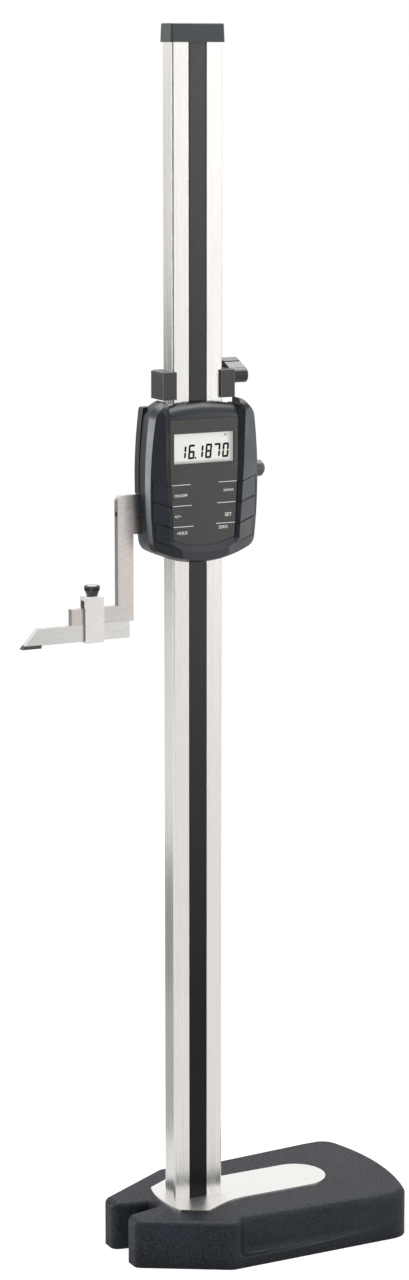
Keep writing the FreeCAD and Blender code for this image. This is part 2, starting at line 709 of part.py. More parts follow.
def make_cap():
    """The drafted cap over the column's end, held by two screws at the back."""
    body = new_body("TopCap")
    rim_x = f"{COLUMN_X} + cap_over"
    rim_y = f"{COLUMN_Y} + cap_over"
    rim = [
        ("0", f"-({rim_y})"),
        (f"{rim_x} - cap_over", f"-({rim_y})"),
        (rim_x, f"-({rim_y}) + cap_over"),
        (rim_x, f"{rim_y} - cap_over"),
        (f"{rim_x} - cap_over", rim_y),
        ("0", rim_y),
    ]
    plan = draw(sketch(body, "CapPlan", "XY_Plane", "cap_low"), mirrored(rim))
    pad(body, "CapBlock", plan, "cap_height", taper="-atan(cap_draft / cap_height)")
    inside = [
        ("0", f"-{COLUMN_Y} - strip_proud - running"),
        (f"{COLUMN_X} + running", f"-{COLUMN_Y} - strip_proud - running"),
        (f"{COLUMN_X} + running", f"{COLUMN_Y} + running"),
        ("0", f"{COLUMN_Y} + running"),
    ]
    plan = draw(sketch(body, "CapHollowPlan", "XY_Plane", "cap_low"), mirrored(inside))
    pocket(body, "CapHollow", plan, "cap_skirt", reverse=True)
    bevel_edges(body, "CapTop", "cap_draft", lambda edge: at(edge, z="cap_low + cap_height", near=0.01))
    screws = []
    height = "cap_low + cap_skirt / 2"
    for index, side in enumerate(("-1", "1")):
        x = f"{side} * cap_screw_spread / 2"
        bore(body, f"CapWay{index}", "XZ_Plane", f"-({rim_y})", (x, height),
             "cap_screw_radius + running", "2 * cap_over", reverse=True)
        head = rod(f"CapScrewHead{index}", "y", (x, rim_y, height), "cap_screw_head", "cap_over")
        thread = shank(f"CapScrewShank{index}", "y", (x, f"{COLUMN_Y} - cap_screw_reach", height),
                       "cap_screw_radius", "cap_screw_reach + cap_over")
        screws.append(fuse(f"CapScrew{index}", head, thread))
    node("top_cap", body)
    node("cap_screws", group("CapScrews", *screws))


SLIDE_X = f"{COLUMN_X} + running"
SLIDE_Y = f"{COLUMN_Y} + running"
LIP_Y = f"{COLUMN_Y} + running + lip_thick"
LIP_X = f"{COLUMN_X} - lip_reach"


def make_slider():
    """The metal frame that runs on the column, with its gib, its seat for the jaw and the feed lug."""
    body = new_body("SliderFrame")
    half = [
        ("0", "frame_rear"),
        ("frame_half", "frame_rear"),
        ("frame_half", negative(LIP_Y)),
        (LIP_X, negative(LIP_Y)),
        (LIP_X, negative(SLIDE_Y)),
        (SLIDE_X, negative(SLIDE_Y)),
        (SLIDE_X, SLIDE_Y),
        ("0", SLIDE_Y),
    ]
    plan = draw(sketch(body, "FramePlan", "XY_Plane", up("frame_low")), mirrored(half))
    pad(body, "FrameBlock", plan, "frame_high - frame_low")
    gib_out = f"{COLUMN_X} + 2 * running + gib_thick"
    seat = [
        (COLUMN_X, "-gib_width / 2 - running"),
        (gib_out, "-gib_width / 2 - running"),
        (gib_out, "gib_width / 2 + running"),
        (COLUMN_X, "gib_width / 2 + running"),
    ]
    plan = draw(sketch(body, "GibSeatPlan", "XY_Plane", up("frame_low + gib_inset")), seat)
    pocket(body, "GibSeat", plan, "frame_high - frame_low - 2 * gib_inset", reverse=True)
    root = [
        ("-frame_half - gap", up("jaw_step")),
        ("-jaw_root", up("jaw_step")),
        ("-jaw_root", up("jaw_top")),
        ("-frame_half - gap", up("jaw_top")),
    ]
    plan = draw(sketch(body, "JawSeatPlan", "XZ_Plane"), root)
    pocket(body, "JawSeat", plan, "jaw_thick", both=True)
    lug = [
        ("-lug_half", "frame_rear"),
        ("lug_half", "frame_rear"),
        ("lug_half", "boss_back - lug_half / 2"),
        ("lug_half / 2", "boss_back"),
        ("-lug_half / 2", "boss_back"),
        ("-lug_half", "boss_back - lug_half / 2"),
    ]
    plan = draw(sketch(body, "LugPlan", "XY_Plane", up("frame_high - lug_height")), lug)
    pad(body, "FeedLug", plan, "lug_height")
    bore(body, "FeedHole", "XY_Plane", up("frame_high"), ("0", "feed_y"), "feed_radius + running",
         "lug_height")
    bore(body, "LockHole", "YZ_Plane", "frame_half", ("0", up("lock_height")), "lock_shaft + running",
         f"frame_half - ({COLUMN_X})")
    for index in range(4):
        height = up(f"frame_low + gib_screw_low + {index} * gib_screw_pitch")
        if index == 2:
            continue
        bore(body, f"GibHole{index}", "YZ_Plane", "frame_half", ("0", height), "gib_screw_radius",
             f"frame_half - ({gib_out})")
    for index, side in enumerate(("-1", "1")):
        height = up(f"(jaw_step + jaw_top) / 2 + {side} * jaw_screw_spread / 2")
        x = "-(frame_half + jaw_root) / 2"
        for part, radius, depth in (("Way", "jaw_screw_radius", "frame_rear"),
                                    ("Sink", "jaw_screw_head + running", "jaw_screw_sink")):
            bore(body, f"JawScrew{part}{index}", "XZ_Plane", "-frame_rear", (x, height), radius, depth,
                 reverse=True)
    node("slider_frame", body)


def make_gib():
    """The gib strip and its screws in the slider's right cheek."""
    low, high = up("frame_low + gib_inset + running"), up("frame_high - gib_inset - running")
    inner = f"{COLUMN_X} + running"
    strip = block("GibStrip", (inner, f"{inner} + gib_thick"), ("-gib_width / 2", "gib_width / 2"),
                  (low, high))
    node("gib_strip", strip)
    screws = []
    for index in (0, 1, 3):
        height = up(f"frame_low + gib_screw_low + {index} * gib_screw_pitch")
        start = f"{inner} + gib_thick"
        thread = shank(f"GibScrewBody{index}", "x", (start, "0", height), "gib_screw_radius - running",
                       f"frame_half - ({start})")
        socket = prism(f"GibSocket{index}", "x", ("frame_half - gib_screw_radius", "0", height),
                       "gib_screw_radius / 2", "gib_screw_radius + gap")
        screws.append(cut(f"GibScrew{index}", thread, socket))
    node("gib_screws", group("GibScrews", *screws))


def make_jaw():
    """The jaw: an arm from the slider, an upright limb and a foot that carries the scriber."""
    body = new_body("Jaw")
    foot_low = up("scriber_lift + scriber_height")
    foot_high = up("scriber_lift + scriber_height + foot_height")
    outline = [
        ("-foot_left", foot_low),
        ("-jaw_left + jaw_limb", foot_low),
        ("-jaw_left + jaw_limb", up("jaw_step")),
        ("-jaw_root", up("jaw_step")),
        ("-jaw_root", up("jaw_top")),
        ("-jaw_left + jaw_corner", up("jaw_top")),
        ("-jaw_left", up("jaw_top - jaw_corner"), "jaw_corner", -1),
        ("-jaw_left", foot_high),
        ("-foot_left", foot_high),
    ]
    front = draw(sketch(body, "JawFront", "XZ_Plane", "-jaw_thick / 2"), outline)
    pad(body, "JawPlate", front, "jaw_thick")
    bore(body, "AccessoryHole", "YZ_Plane", "-jaw_left", ("0", up("jaw_top - accessory_drop")),
         "accessory_radius", "accessory_depth", reverse=True)
    screws = []
    for index, side in enumerate(("-1", "1")):
        height = up(f"(jaw_step + jaw_top) / 2 + {side} * jaw_screw_spread / 2")
        x = "-(frame_half + jaw_root) / 2"
        bore(body, f"JawTap{index}", "XZ_Plane", "-jaw_thick / 2", (x, height), "jaw_screw_radius",
             "jaw_thick", reverse=True)
        tip = "-jaw_thick / 2 + gap"
        seat = "frame_rear - jaw_screw_sink"
        thread = shank(f"JawScrewShank{index}", "y", (x, tip, height), "jaw_screw_radius - running",
                       f"{seat} - ({tip})")
        head = rod(f"JawScrewHead{index}", "y", (x, seat, height), "jaw_screw_head", "jaw_screw_sink - gap")
        screws.append(fuse(f"JawScrew{index}", thread, head))
    node("jaw", body)
    node("jaw_screws", group("JawScrews", *screws))


def make_scriber():
    """The scriber, its hard tip, and the clamp that holds it up against the jaw's foot."""
    body = new_body("Scriber")
    low, high = up("scriber_lift"), up("scriber_lift + scriber_height")
    rate = "(scriber_tip - scriber_top) / (scriber_lift + scriber_height)"
    outline = [
        (f"-scriber_tip + tip_height * {rate}", up("tip_height")),
        ("-tip_right", up("tip_height")),
        ("-tip_right", low),
        ("-scriber_right", low),
        ("-scriber_right", high),
        ("-scriber_top", high),
    ]
    front = draw(sketch(body, "ScriberFront", "XZ_Plane", "-jaw_thick / 2"), outline)
    pad(body, "ScriberBar", front, "jaw_thick")
    node("scriber", body)
    tip = new_body("CarbideTip")
    outline = [
        ("-scriber_tip", up("0")),
        ("-tip_right", up("0")),
        ("-tip_right", up("tip_height")),
        (f"-scriber_tip + tip_height * {rate}", up("tip_height")),
    ]
    front = draw(sketch(tip, "TipFront", "XZ_Plane", "-jaw_thick / 2"), outline)
    pad(tip, "TipBar", front, "jaw_thick")
    node("carbide_tip", tip)


def make_clamp():
    """The clamp: a loop round the jaw's foot and the scriber, with a thumb screw in its roof."""
    clamp = new_body("ScriberClamp")
    loop_in = "jaw_thick / 2 + running"
    inside_low = up("scriber_lift")
    inside_high = up("scriber_lift + scriber_height + foot_height + clamp_head")
    outer = [
        (f"-({loop_in}) - clamp_side", f"{inside_low} - clamp_floor"),
        (f"{loop_in} + clamp_side", f"{inside_low} - clamp_floor"),
        (f"{loop_in} + clamp_side", f"{inside_high} + clamp_roof"),
        (f"-({loop_in}) - clamp_side", f"{inside_high} + clamp_roof"),
    ]
    side = draw(sketch(clamp, "ClampSide", "YZ_Plane", "-clamp_centre - clamp_width / 2"), outer)
    pad(clamp, "ClampBlock", side, "clamp_width")
    inner = [
        (negative(loop_in), inside_low),
        (loop_in, inside_low),
        (loop_in, inside_high),
        (negative(loop_in), inside_high),
    ]
    side = draw(sketch(clamp, "ClampWindowSide", "YZ_Plane", "-clamp_centre"), inner)
    pocket(clamp, "ClampWindow", side, "clamp_width + gap", both=True)
    bore(clamp, "ClampHole", "XY_Plane", f"{inside_high} + clamp_roof", ("-clamp_centre", "0"),
         "screw_radius + running", "clamp_roof")
    edges = lambda edge: along(edge, "x") and not at(edge, y="0", near=value(loop_in) + 0.2)
    round_edges(clamp, "ClampEdges", "clamp_side / 4", edges)
    node("scriber_clamp", clamp)
    foot_top = up("scriber_lift + scriber_height + foot_height")
    neck = f"{inside_high} + clamp_roof + gap"
    tip_z = f"{foot_top} + 2 * gap"
    stem = rod("ClampStem", "z", ("-clamp_centre", "0", tip_z), "screw_radius", f"{neck} - ({tip_z})")
    cone = rod("ClampCone", "z", ("-clamp_centre", "0", neck), "screw_neck_radius", "screw_cone",
               "screw_head_radius")
    head = rod("ClampHead", "z", ("-clamp_centre", "0", f"{neck} + screw_cone"), "screw_head_radius",
               "screw_head_height")
    node("clamp_screw", fuse("ClampScrew", stem, cone, head))


def house_outline(inset):
    """Half the housing's front view, set in by a wall thickness."""
    sole = f"house_sole - {inset}"
    low = f"house_low + {inset}"
    foot_x = f"house_foot_x - {inset} / 2"
    foot_z = f"{low} + {sole} - sqrt(({sole}) ^ 2 - ({foot_x}) ^ 2)"
    return [
        ("0", up(low)),
        (foot_x, up(foot_z), sole, -1),
        (f"house_half_low - {inset}", up("house_side_low"), f"house_heel - {inset} / 2", -1),
        (f"house_half_high - {inset}", up("house_side_high"), "house_side_bow", -1),
        ("house_crown_x", up(f"house_high - {inset}"), f"house_crown - {inset} / 2", -1),
        ("0", up(f"house_high - {inset}")),
    ]


def label_side(height):
    """Half width of the label at a height: its sides narrow towards its lower corners."""
    rate = f"(label_half - label_half_low) / (label_widen - ({LABEL_CORNER}))"
    return f"label_half_low + (({height}) - ({LABEL_CORNER})) * {rate}"


def label_outline(spread, high):
    """Half the label's front view, grown by a clearance: arched lower edge, slanted sides."""
    return [
        ("0", up(f"label_low - {spread}")),
        (f"label_half_low + {spread}", up(f"{LABEL_CORNER} - {spread}"), f"label_sag + {spread}", -1),
        (f"label_half + {spread}", up("label_widen")),
        (f"label_half + {spread}", up(high)),
        ("0", up(high)),
    ]


def key_places():
    """Number, side and level of each key: left column first, from the bottom up."""
    places = [(side, level) for side in ("-1", "1") for level in range(3)]
    return [(number + 1, side, level) for number, (side, level) in enumerate(places)]


def key_ends(level):
    """Heights of a key's underside and top at its inner end: the lowest keys are cut shorter."""
    low = f"key_low + {level} * key_pitch"
    return (low if level else "key_low + key_cut"), f"{low} + key_height"


def key_outline(side, level, spread):
    """Front view of one key, grown by a gap: it follows the label and rises towards its outer end."""
    low, high = key_ends(level)
    outer = f"key_outer + {spread}" if level else f"key_outer - key_trim + {spread}"
    points = [
        (f"{label_side(low)} + seam + key_gap - {spread}", f"{low} - {spread}"),
        (outer, f"{low} + key_rise - {spread}"),
        (outer, f"{high} + key_rise + {spread}"),
        (f"{label_side(high)} + seam + key_gap - {spread}", f"{high} + {spread}"),
    ]
    return [(f"{side} * ({x})", up(z)) for x, z in points]


def cut_wings(body, name, proud):
    """Take off what lies in front of the two wing faces, which fall outwards and lean back downwards."""
    middle = f"-(front_y + wing_fall * wing_crest) - {proud}"
    reach = "2 * house_half_low"
    for side, word in (("-1", "Left"), ("1", "Right")):
        waste = [
            ("0", middle),
            (f"{side} * ({reach})", f"{middle} + wing_fall * {reach}"),
            (f"{side} * ({reach})", "-2 * front_y"),
            ("0", "-2 * front_y"),
        ]
        plan = draw(sketch(body, f"{name}{word}Plan", "XY_Plane", up("label_high")), waste)
        wing = pocket(body, f"{name}{word}", plan, "4 * (house_high - house_low)", both=True)
        lean(wing, Vector(0, -value("wing_lean"), 1), "-wing_lean")


def cut_field(body, name, level, high):
    """Sink the field that the label lies in, with slanted facets all round it."""
    front = draw(sketch(body, f"{name}Front", "XZ_Plane", level), mirrored(label_outline("seam", high)))
    pocket(body, name, front, "front_y - field_y + gap", reverse=True, taper="field_flare")


def make_front_shell():
    """The moulded front shell: tapered rim, two raised wings with keys, sunken display field."""
    body = new_body("HousingFront")
    front = draw(sketch(body, "ShellOutline", "XZ_Plane", "seam_y"), mirrored(house_outline("0")))
    pad(body, "ShellSkirt", front, "band_y - seam_y")
    front = draw(sketch(body, "ShellFace", "XZ_Plane", "band_y"), mirrored(house_outline("0")))
    pad(body, "ShellTaper", front, "front_y - band_y", taper="-front_taper")
    cut_wings(body, "Wing", "0")
    ridge = [
        ("-front_y", up("house_high - ridge_round")),
        ("-front_y + ridge_round", up("house_high"), "ridge_round", 1),
        ("-front_y + ridge_round", up("house_high + ridge_round")),
        ("-front_y - ridge_round", up("house_high + ridge_round")),
        ("-front_y - ridge_round", up("house_high - ridge_round")),
    ]
    side = draw(sketch(body, "RidgeTopSide", "YZ_Plane"), ridge)
    pocket(body, "RidgeTop", side, "4 * house_half_low", both=True)
    cut_field(body, "Field", "field_y", "2 * house_high")
    seat = draw(sketch(body, "LabelSeatFront", "XZ_Plane", "field_y"),
                mirrored(label_outline("seam", "label_high + seam")))
    pocket(body, "LabelSeat", seat, "label_thick")
    roll = [
        ("-field_y", "roll_bow - roll_round"),
        ("-field_y + roll_round", "roll_bow", "roll_round", 1),
        ("0", "roll_bow"),
        ("0", "roll_bow + roll_round"),
        ("-field_y - roll_round", "roll_bow + roll_round"),
        ("-field_y - roll_round", "roll_bow - roll_round"),
    ]
    side = sketch(body, "FieldRollSide", "YZ_Plane")
    bind(side, AttachmentOffset__Base__y=up("roll_high - roll_bow"))
    draw(side, roll)
    groove = body.newObject("PartDesign::Groove", "FieldRoll")
    groove.Profile = side
    groove.ReferenceAxis = (side, ["H_Axis"])
    groove.Midplane = True
    bind(groove, Angle="2 * asin(roll_half / roll_bow)")
    doc.recompute()
    hollow = house_outline("wall")[:4] + [("house_crown_x", up("roll_high - roll_round")),
                                          ("0", up("roll_high - roll_round"))]
    inside = draw(sketch(body, "HollowOutline", "XZ_Plane", "seam_y"), mirrored(hollow))
    pocket(body, "Hollow", inside, "cavity_y - seam_y", reverse=True)
    throat = [
        ("-throat_half", "-throat_front"),
        ("throat_half", "-throat_front"),
        ("throat_half", "0"),
        ("-throat_half", "0"),
    ]
    plan = draw(sketch(body, "ThroatPlan", "XY_Plane", up("(house_low + house_high) / 2")), throat)
    pocket(body, "Throat", plan, "2 * (house_high - house_low)", both=True)
    window = [
        ("-glass_half - seam", up("glass_low - seam")),
        ("glass_half + seam", up("glass_low - seam")),
        ("glass_half + seam", up("glass_high + seam")),
        ("-glass_half - seam", up("glass_high + seam")),
    ]
    front = draw(sketch(body, "WindowFront", "XZ_Plane", "field_y"), window)
    pocket(body, "Window", front, "field_y - cavity_y")
    for number, side, level in key_places():
        front = draw(sketch(body, f"KeyWayFront{number}", "XZ_Plane", "front_y"),
                     key_outline(side, level, "key_gap"))
        pocket(body, f"KeyWay{number}", front, "front_y - cavity_y")
    tray = [
        ("-tray_half - seam", "-tray_front - seam"),
        ("tray_half + seam", "-tray_front - seam"),
        ("tray_half + seam", "-tray_front + tray_thick + seam"),
        ("-tray_half - seam", "-tray_front + tray_thick + seam"),
    ]
    plan = draw(sketch(body, "TrayWayPlan", "XY_Plane", up("house_low - gap")), tray)
    pocket(body, "TrayWay", plan, "tray_high - house_low + 2 * gap", reverse=True)
    for index, (side, height) in enumerate(shell_screw_places()):
        x = f"{side} * shell_screw_x"
        post(body, f"Post{index}", "XZ_Plane", "seam_y", (x, up(height)), "post_half", "cavity_y - seam_y")
        bore(body, f"PostHole{index}", "XZ_Plane", "seam_y", (x, up(height)), "shell_screw_radius",
             "cavity_y - seam_y - wall", reverse=True)
    node("housing_front", body)


def rear_outline(inset):
    """Half the rear shell's outline: the housing's, with squarer upper corners."""
    side = f"house_half_high - {inset}"
    high = f"rear_high - {inset}"
    return house_outline(inset)[:3] + [
        (side, up(f"{high} - rear_corner"), "house_side_bow", -1),
        (f"{side} - rear_corner", up(high), "rear_corner", -1),
        ("0", up(high)),
    ]


def shell_screw_places():
    return [(side, height) for side in ("-1", "1") for height in ("shell_screw_low", "shell_screw_high")]


def make_rear_shell():
    """The rear shell: flanges beside the slider and a hump behind it, open where the jaw comes out."""
    body = new_body("HousingRear")
    front = draw(sketch(body, "RearOutline", "XZ_Plane", "-rear_y"), mirrored(rear_outline("0")))
    pad(body, "RearFlange", front, "rear_y + seam_y")
    hump = [
        ("-hump_half", up("hump_low")),
        ("hump_half", up("hump_low")),
        ("hump_half", up("hump_high")),
        ("-hump_half", up("hump_high")),
    ]
    front = draw(sketch(body, "HumpFront", "XZ_Plane", "-hump_y"), hump)
    pad(body, "Hump", front, "hump_y - rear_y")
    edges = lambda edge: along(edge, "z") and at(edge, y="hump_y", near=0.01)
    round_edges(body, "HumpEdges", "hump_round", edges)
    inside = draw(sketch(body, "RearHollowOutline", "XZ_Plane", "seam_y"), mirrored(rear_outline("wall")))
    pocket(body, "RearHollow", inside, "seam_y + rear_y - wall")
    throat = [
        ("-throat_half", "-2 * throat_front"),
        ("throat_half", "-2 * throat_front"),
        ("throat_half", "hump_y - wall"),
        ("-throat_half", "hump_y - wall"),
    ]
    plan = draw(sketch(body, "RearThroatPlan", "XY_Plane", up("(house_low + house_high) / 2")), throat)
    pocket(body, "RearThroat", plan, "2 * (house_high - house_low)", both=True)
    slot = [
        ("-2 * throat_half", up("jaw_step - gap")),
        ("-throat_half + gap", up("jaw_step - gap")),
        ("-throat_half + gap", up("jaw_top + gap")),
        ("-2 * throat_half", up("jaw_top + gap")),
    ]
    front = draw(sketch(body, "JawSlotFront", "XZ_Plane", "seam_y"), slot)
    pocket(body, "JawSlot", front, "seam_y + rear_y")
    bore(body, "KnobHole", "YZ_Plane", "2 * throat_half", ("0", up("lock_height")), "lock_shaft + gap",
         "throat_half")
    for index, (side, height) in enumerate(shell_screw_places()):
        x = f"{side} * shell_screw_x"
        post(body, f"RearPost{index}", "XZ_Plane", "-rear_y", (x, up(height)), "post_half",
             "rear_y + seam_y")
        for part, radius, depth in (("Way", "shell_screw_radius + running", "rear_y + seam_y"),
                                    ("Sink", "shell_screw_head + running", "shell_screw_sink")):
            bore(body, f"RearScrew{part}{index}", "XZ_Plane", "-rear_y", (x, up(height)), radius, depth,
                 reverse=True)
    node("housing_rear", body)
    screws = []
    for index, (side, height) in enumerate(shell_screw_places()):
        x = f"{side} * shell_screw_x"
        seat = "rear_y - shell_screw_sink"
        tip = "-cavity_y + wall + gap"
        thread = shank(f"ShellScrewShank{index}", "y", (x, tip, up(height)),
                       "shell_screw_radius - running", f"{seat} - ({tip})")
        head = rod(f"ShellScrewHead{index}", "y", (x, seat, up(height)), "shell_screw_head",
                   "shell_screw_sink")
        screws.append(fuse(f"ShellScrew{index}", thread, head))
    node("housing_screws", group("HousingScrews", *screws))


def make_display():
    """The label, the display window and the display module behind it."""
    label = new_body("LabelPanel")
    front = draw(sketch(label, "LabelFront", "XZ_Plane", "field_y - label_thick"),
                 mirrored(label_outline("0", "label_high")))
    pad(label, "LabelPlate", front, "label_thick")
    window = [
        ("-glass_half - seam", up("glass_low - seam")),
        ("glass_half + seam", up("glass_low - seam")),
        ("glass_half + seam", up("glass_high + seam")),
        ("-glass_half - seam", up("glass_high + seam")),
    ]
    front = draw(sketch(label, "LabelWindowFront", "XZ_Plane", "field_y"), window)
    pocket(label, "LabelWindow", front, "2 * label_thick")
    node("label_panel", label)
    glass_x = ("-glass_half", "glass_half")
    glass_z = (up("glass_low"), up("glass_high"))
    glass = block("DisplayWindow", glass_x, ("-glass_front", "-glass_front + glass_thick"), glass_z)
    node("display_window", glass)
    cell = block("DisplayCell", glass_x, ("-glass_front + glass_thick", "-cavity_y + seam"), glass_z)
    frame_x = ("-glass_half - module_margin", "glass_half + module_margin")
    frame_z = (up("glass_low - module_margin"), up("glass_high + module_margin"))
    frame = block("DisplayFrame", frame_x, ("-cavity_y", "-module_rear"), frame_z)
    node("display_module", fuse("DisplayModule", cell, frame))


def make_boards():
    """The circuit board with its switch domes, and the sensor board that faces the scale strip."""
    board = new_body("CircuitBoard")
    outline = [
        ("0", up("tray_high + contact_height")),
        ("tray_half + gap", up("tray_high + contact_height")),
        ("tray_half + gap", up("board_low")),
        ("board_half", up("board_low + key_rise")),
        ("board_half", up("board_step")),
        ("board_neck", up("board_step")),
        ("board_neck", up("board_high")),
        ("0", up("board_high")),
    ]
    front = draw(sketch(board, "BoardFront", "XZ_Plane", "board_front - board_thick"), mirrored(outline))
    pad(board, "BoardPlate", front, "board_thick")
    node("circuit_board", board)
    domes = []
    for number, side, level in key_places():
        x = f"{side} * (label_half + key_outer) / 2"
        z = up(f"key_low + {level} * key_pitch + (key_height + key_rise) / 2")
        start = (x, "-board_front - dome_height", z)
        domes.append(prism(f"Dome{number}", "y", start, "dome_radius", "dome_height", sides=8))
    node("key_domes", group("KeyDomes", *domes))
    plate_z = (up("sensor_low"), up("sensor_high"))
    plate = block("SensorPlate", ("-sensor_plate_half", "sensor_plate_half"),
                  (f"-({LIP_Y}) - sensor_plate", negative(LIP_Y)), plate_z)
    face = block("SensorFace", ("-sensor_half", "sensor_half"), (negative(LIP_Y), "-sensor_back"), plate_z)
    node("sensor_board", fuse("SensorBoard", plate, face))


def make_keys():
    """Six keys that rise through the wings, each kept in by a flange behind the wall."""
    for number, side, level in key_places():
        body = new_body(f"Key{number}")
        rear = "cavity_y - key_flange - running"
        front = draw(sketch(body, f"KeyFront{number}", "XZ_Plane", rear), key_outline(side, level, "0"))
        pad(body, f"KeyCap{number}", front, "front_y")
        cut_wings(body, f"KeyFace{number}", "key_proud")
        cut_field(body, f"KeyFacet{number}", "field_y + key_proud", "label_high")
        low, high = key_ends(level)
        low_x, high_x = (f"{label_side(height)} + seam + key_gap" for height in (low, high))
        flange = [
            (f"{low_x} - key_flange", low),
            (f"{low_x} + key_height / 2", f"{low} + key_rise / 2"),
            (f"{high_x} + key_height / 2", f"{high} + key_rise / 2"),
            (f"{high_x} - key_flange", high),
        ]
        points = [(f"{side} * ({x})", up(z)) for x, z in flange]
        front = draw(sketch(body, f"KeyFlangeFront{number}", "XZ_Plane", rear), points)
        pad(body, f"KeyFlange{number}", front, "key_flange")
        node(f"key_{number}", body)


def make_battery():
    """The battery tray in the housing's bottom edge, its coin cell and the contact above it."""
    tray = new_body("BatteryTray")
    low = "house_low + tray_inset + house_sole - sqrt(house_sole ^ 2 - tray_half ^ 2)"
    outline = [
        ("0", up("house_low + tray_inset")),
        ("tray_half", up(low), "house_sole", -1),
        ("tray_half", up("tray_high")),
        ("0", up("tray_high")),
    ]
    front = draw(sketch(tray, "TrayFront", "XZ_Plane", "tray_front - tray_thick"), mirrored(outline))
    pad(tray, "TrayPlate", front, "tray_thick")
    bore(tray, "CellSeat", "XZ_Plane", "tray_front", ("0", up("cell_height")), "cell_radius + gap",
         "(tray_thick + cell_thick) / 2")
    node("battery_tray", tray)
    cell_back = "-tray_front + (tray_thick + cell_thick) / 2"
    node("coin_cell", rod("CoinCell", "y", ("0", f"{cell_back} - cell_thick", up("cell_height")),
                          "cell_radius", "cell_thick"))
    contact = block("BatteryContact", ("-contact_half", "contact_half"),
                    ("-board_front", "-board_front + board_thick"),
                    (up("tray_high + running"), up("tray_high + contact_height")))
    node("battery_contact", contact)


def make_lock():
    """The knob that locks the head on the column, and the brass plug that it presses on the gib."""
    inner = f"{COLUMN_X} + 2 * running + gib_thick"
    start = f"{inner} + pad_plug"
    plug = rod("LockPlug", "x", (inner, "0", up("lock_height")), "lock_shaft - running", "pad_plug")
    node("lock_plug", plug)
    knob_start = "lock_end - lock_length"
    shaft = rod("LockShaft", "x", (start, "0", up("lock_height")), "lock_shaft",
                f"{knob_start} - ({start})")
    head = rod("LockHead", "x", (knob_start, "0", up("lock_height")), "lock_radius",
               "lock_length - lock_dome")
    dome = rod("LockDome", "x", ("lock_end - lock_dome", "0", up("lock_height")), "lock_radius",
               "lock_dome", "lock_radius - lock_dome")
    node("lock_knob", fuse("LockKnob", shaft, head, dome))


def make_carriage():
    """The fine-adjustment carriage: a frame on the column with a nut that runs on the feed screw."""
    body = new_body("CarriageFrame")
    half = [
        ("0", "bridge_back"),
        ("bridge_half", "bridge_back"),
        ("bridge_half", "carriage_back"),
        ("carriage_half", "carriage_back"),
        ("carriage_half", negative(LIP_Y)),
        (LIP_X, negative(LIP_Y)),
        (LIP_X, negative(SLIDE_Y)),
        (SLIDE_X, negative(SLIDE_Y)),
        (SLIDE_X, SLIDE_Y),
        ("0", SLIDE_Y),
    ]
    plan = draw(sketch(body, "CarriagePlan", "XY_Plane", up("carriage_low")), mirrored(half))
    pad(body, "CarriageBlock", plan, "carriage_height")
    boss = [
        ("-boss_half", "bridge_back"),
        ("boss_half", "bridge_back"),
        ("boss_half", "boss_back"),
        ("-boss_half", "boss_back"),
    ]
    plan = draw(sketch(body, "NutBossPlan", "XY_Plane", up("carriage_low")), boss)
    pad(body, "NutBoss", plan, "carriage_height")
    slot = [
        ("-2 * boss_half", up("carriage_low + nut_lift - gap")),
        ("2 * boss_half", up("carriage_low + nut_lift - gap")),
        ("2 * boss_half", up("carriage_low + nut_lift + nut_height + gap")),
        ("-2 * boss_half", up("carriage_low + nut_lift + nut_height + gap")),
    ]
    front = draw(sketch(body, "NutSlotFront", "XZ_Plane", "-boss_back - gap"), slot)
    pocket(body, "NutSlot", front, "boss_back - feed_y + nut_radius + 2 * gap", reverse=True)
    bore(body, "FeedWay", "XY_Plane", up("carriage_low"), ("0", "feed_y"), "feed_radius + running",
         "carriage_height", reverse=True)
    bore(body, "StudHole", "YZ_Plane", "carriage_half", ("0", up(LEVER_Z)), "lever_stud + running",
         f"carriage_half - ({COLUMN_X})")
    oil_x = "-(carriage_half + column_width / 2) / 2"
    bore(body, "OilHole", "XY_Plane", up("carriage_low + carriage_height"), (oil_x, "0"), "oil_radius",
         "oil_depth")
    node("carriage_frame", body)
    screw_low = up("frame_high - lug_height")
    screw = rod("FeedScrew", "z", ("0", "feed_y", screw_low), "feed_radius",
                f"carriage_low + feed_over - frame_high + lug_height")
    node("feed_screw", screw)
    nut_low = up("carriage_low + nut_lift")
    disc = rod("NutDisc", "z", ("0", "feed_y", nut_low), "nut_radius", "nut_height")
    eye = rod("NutBore", "z", ("0", "feed_y", nut_low), "feed_radius + running", "nut_height")
    node("feed_nut", cut("FeedNut", disc, eye))


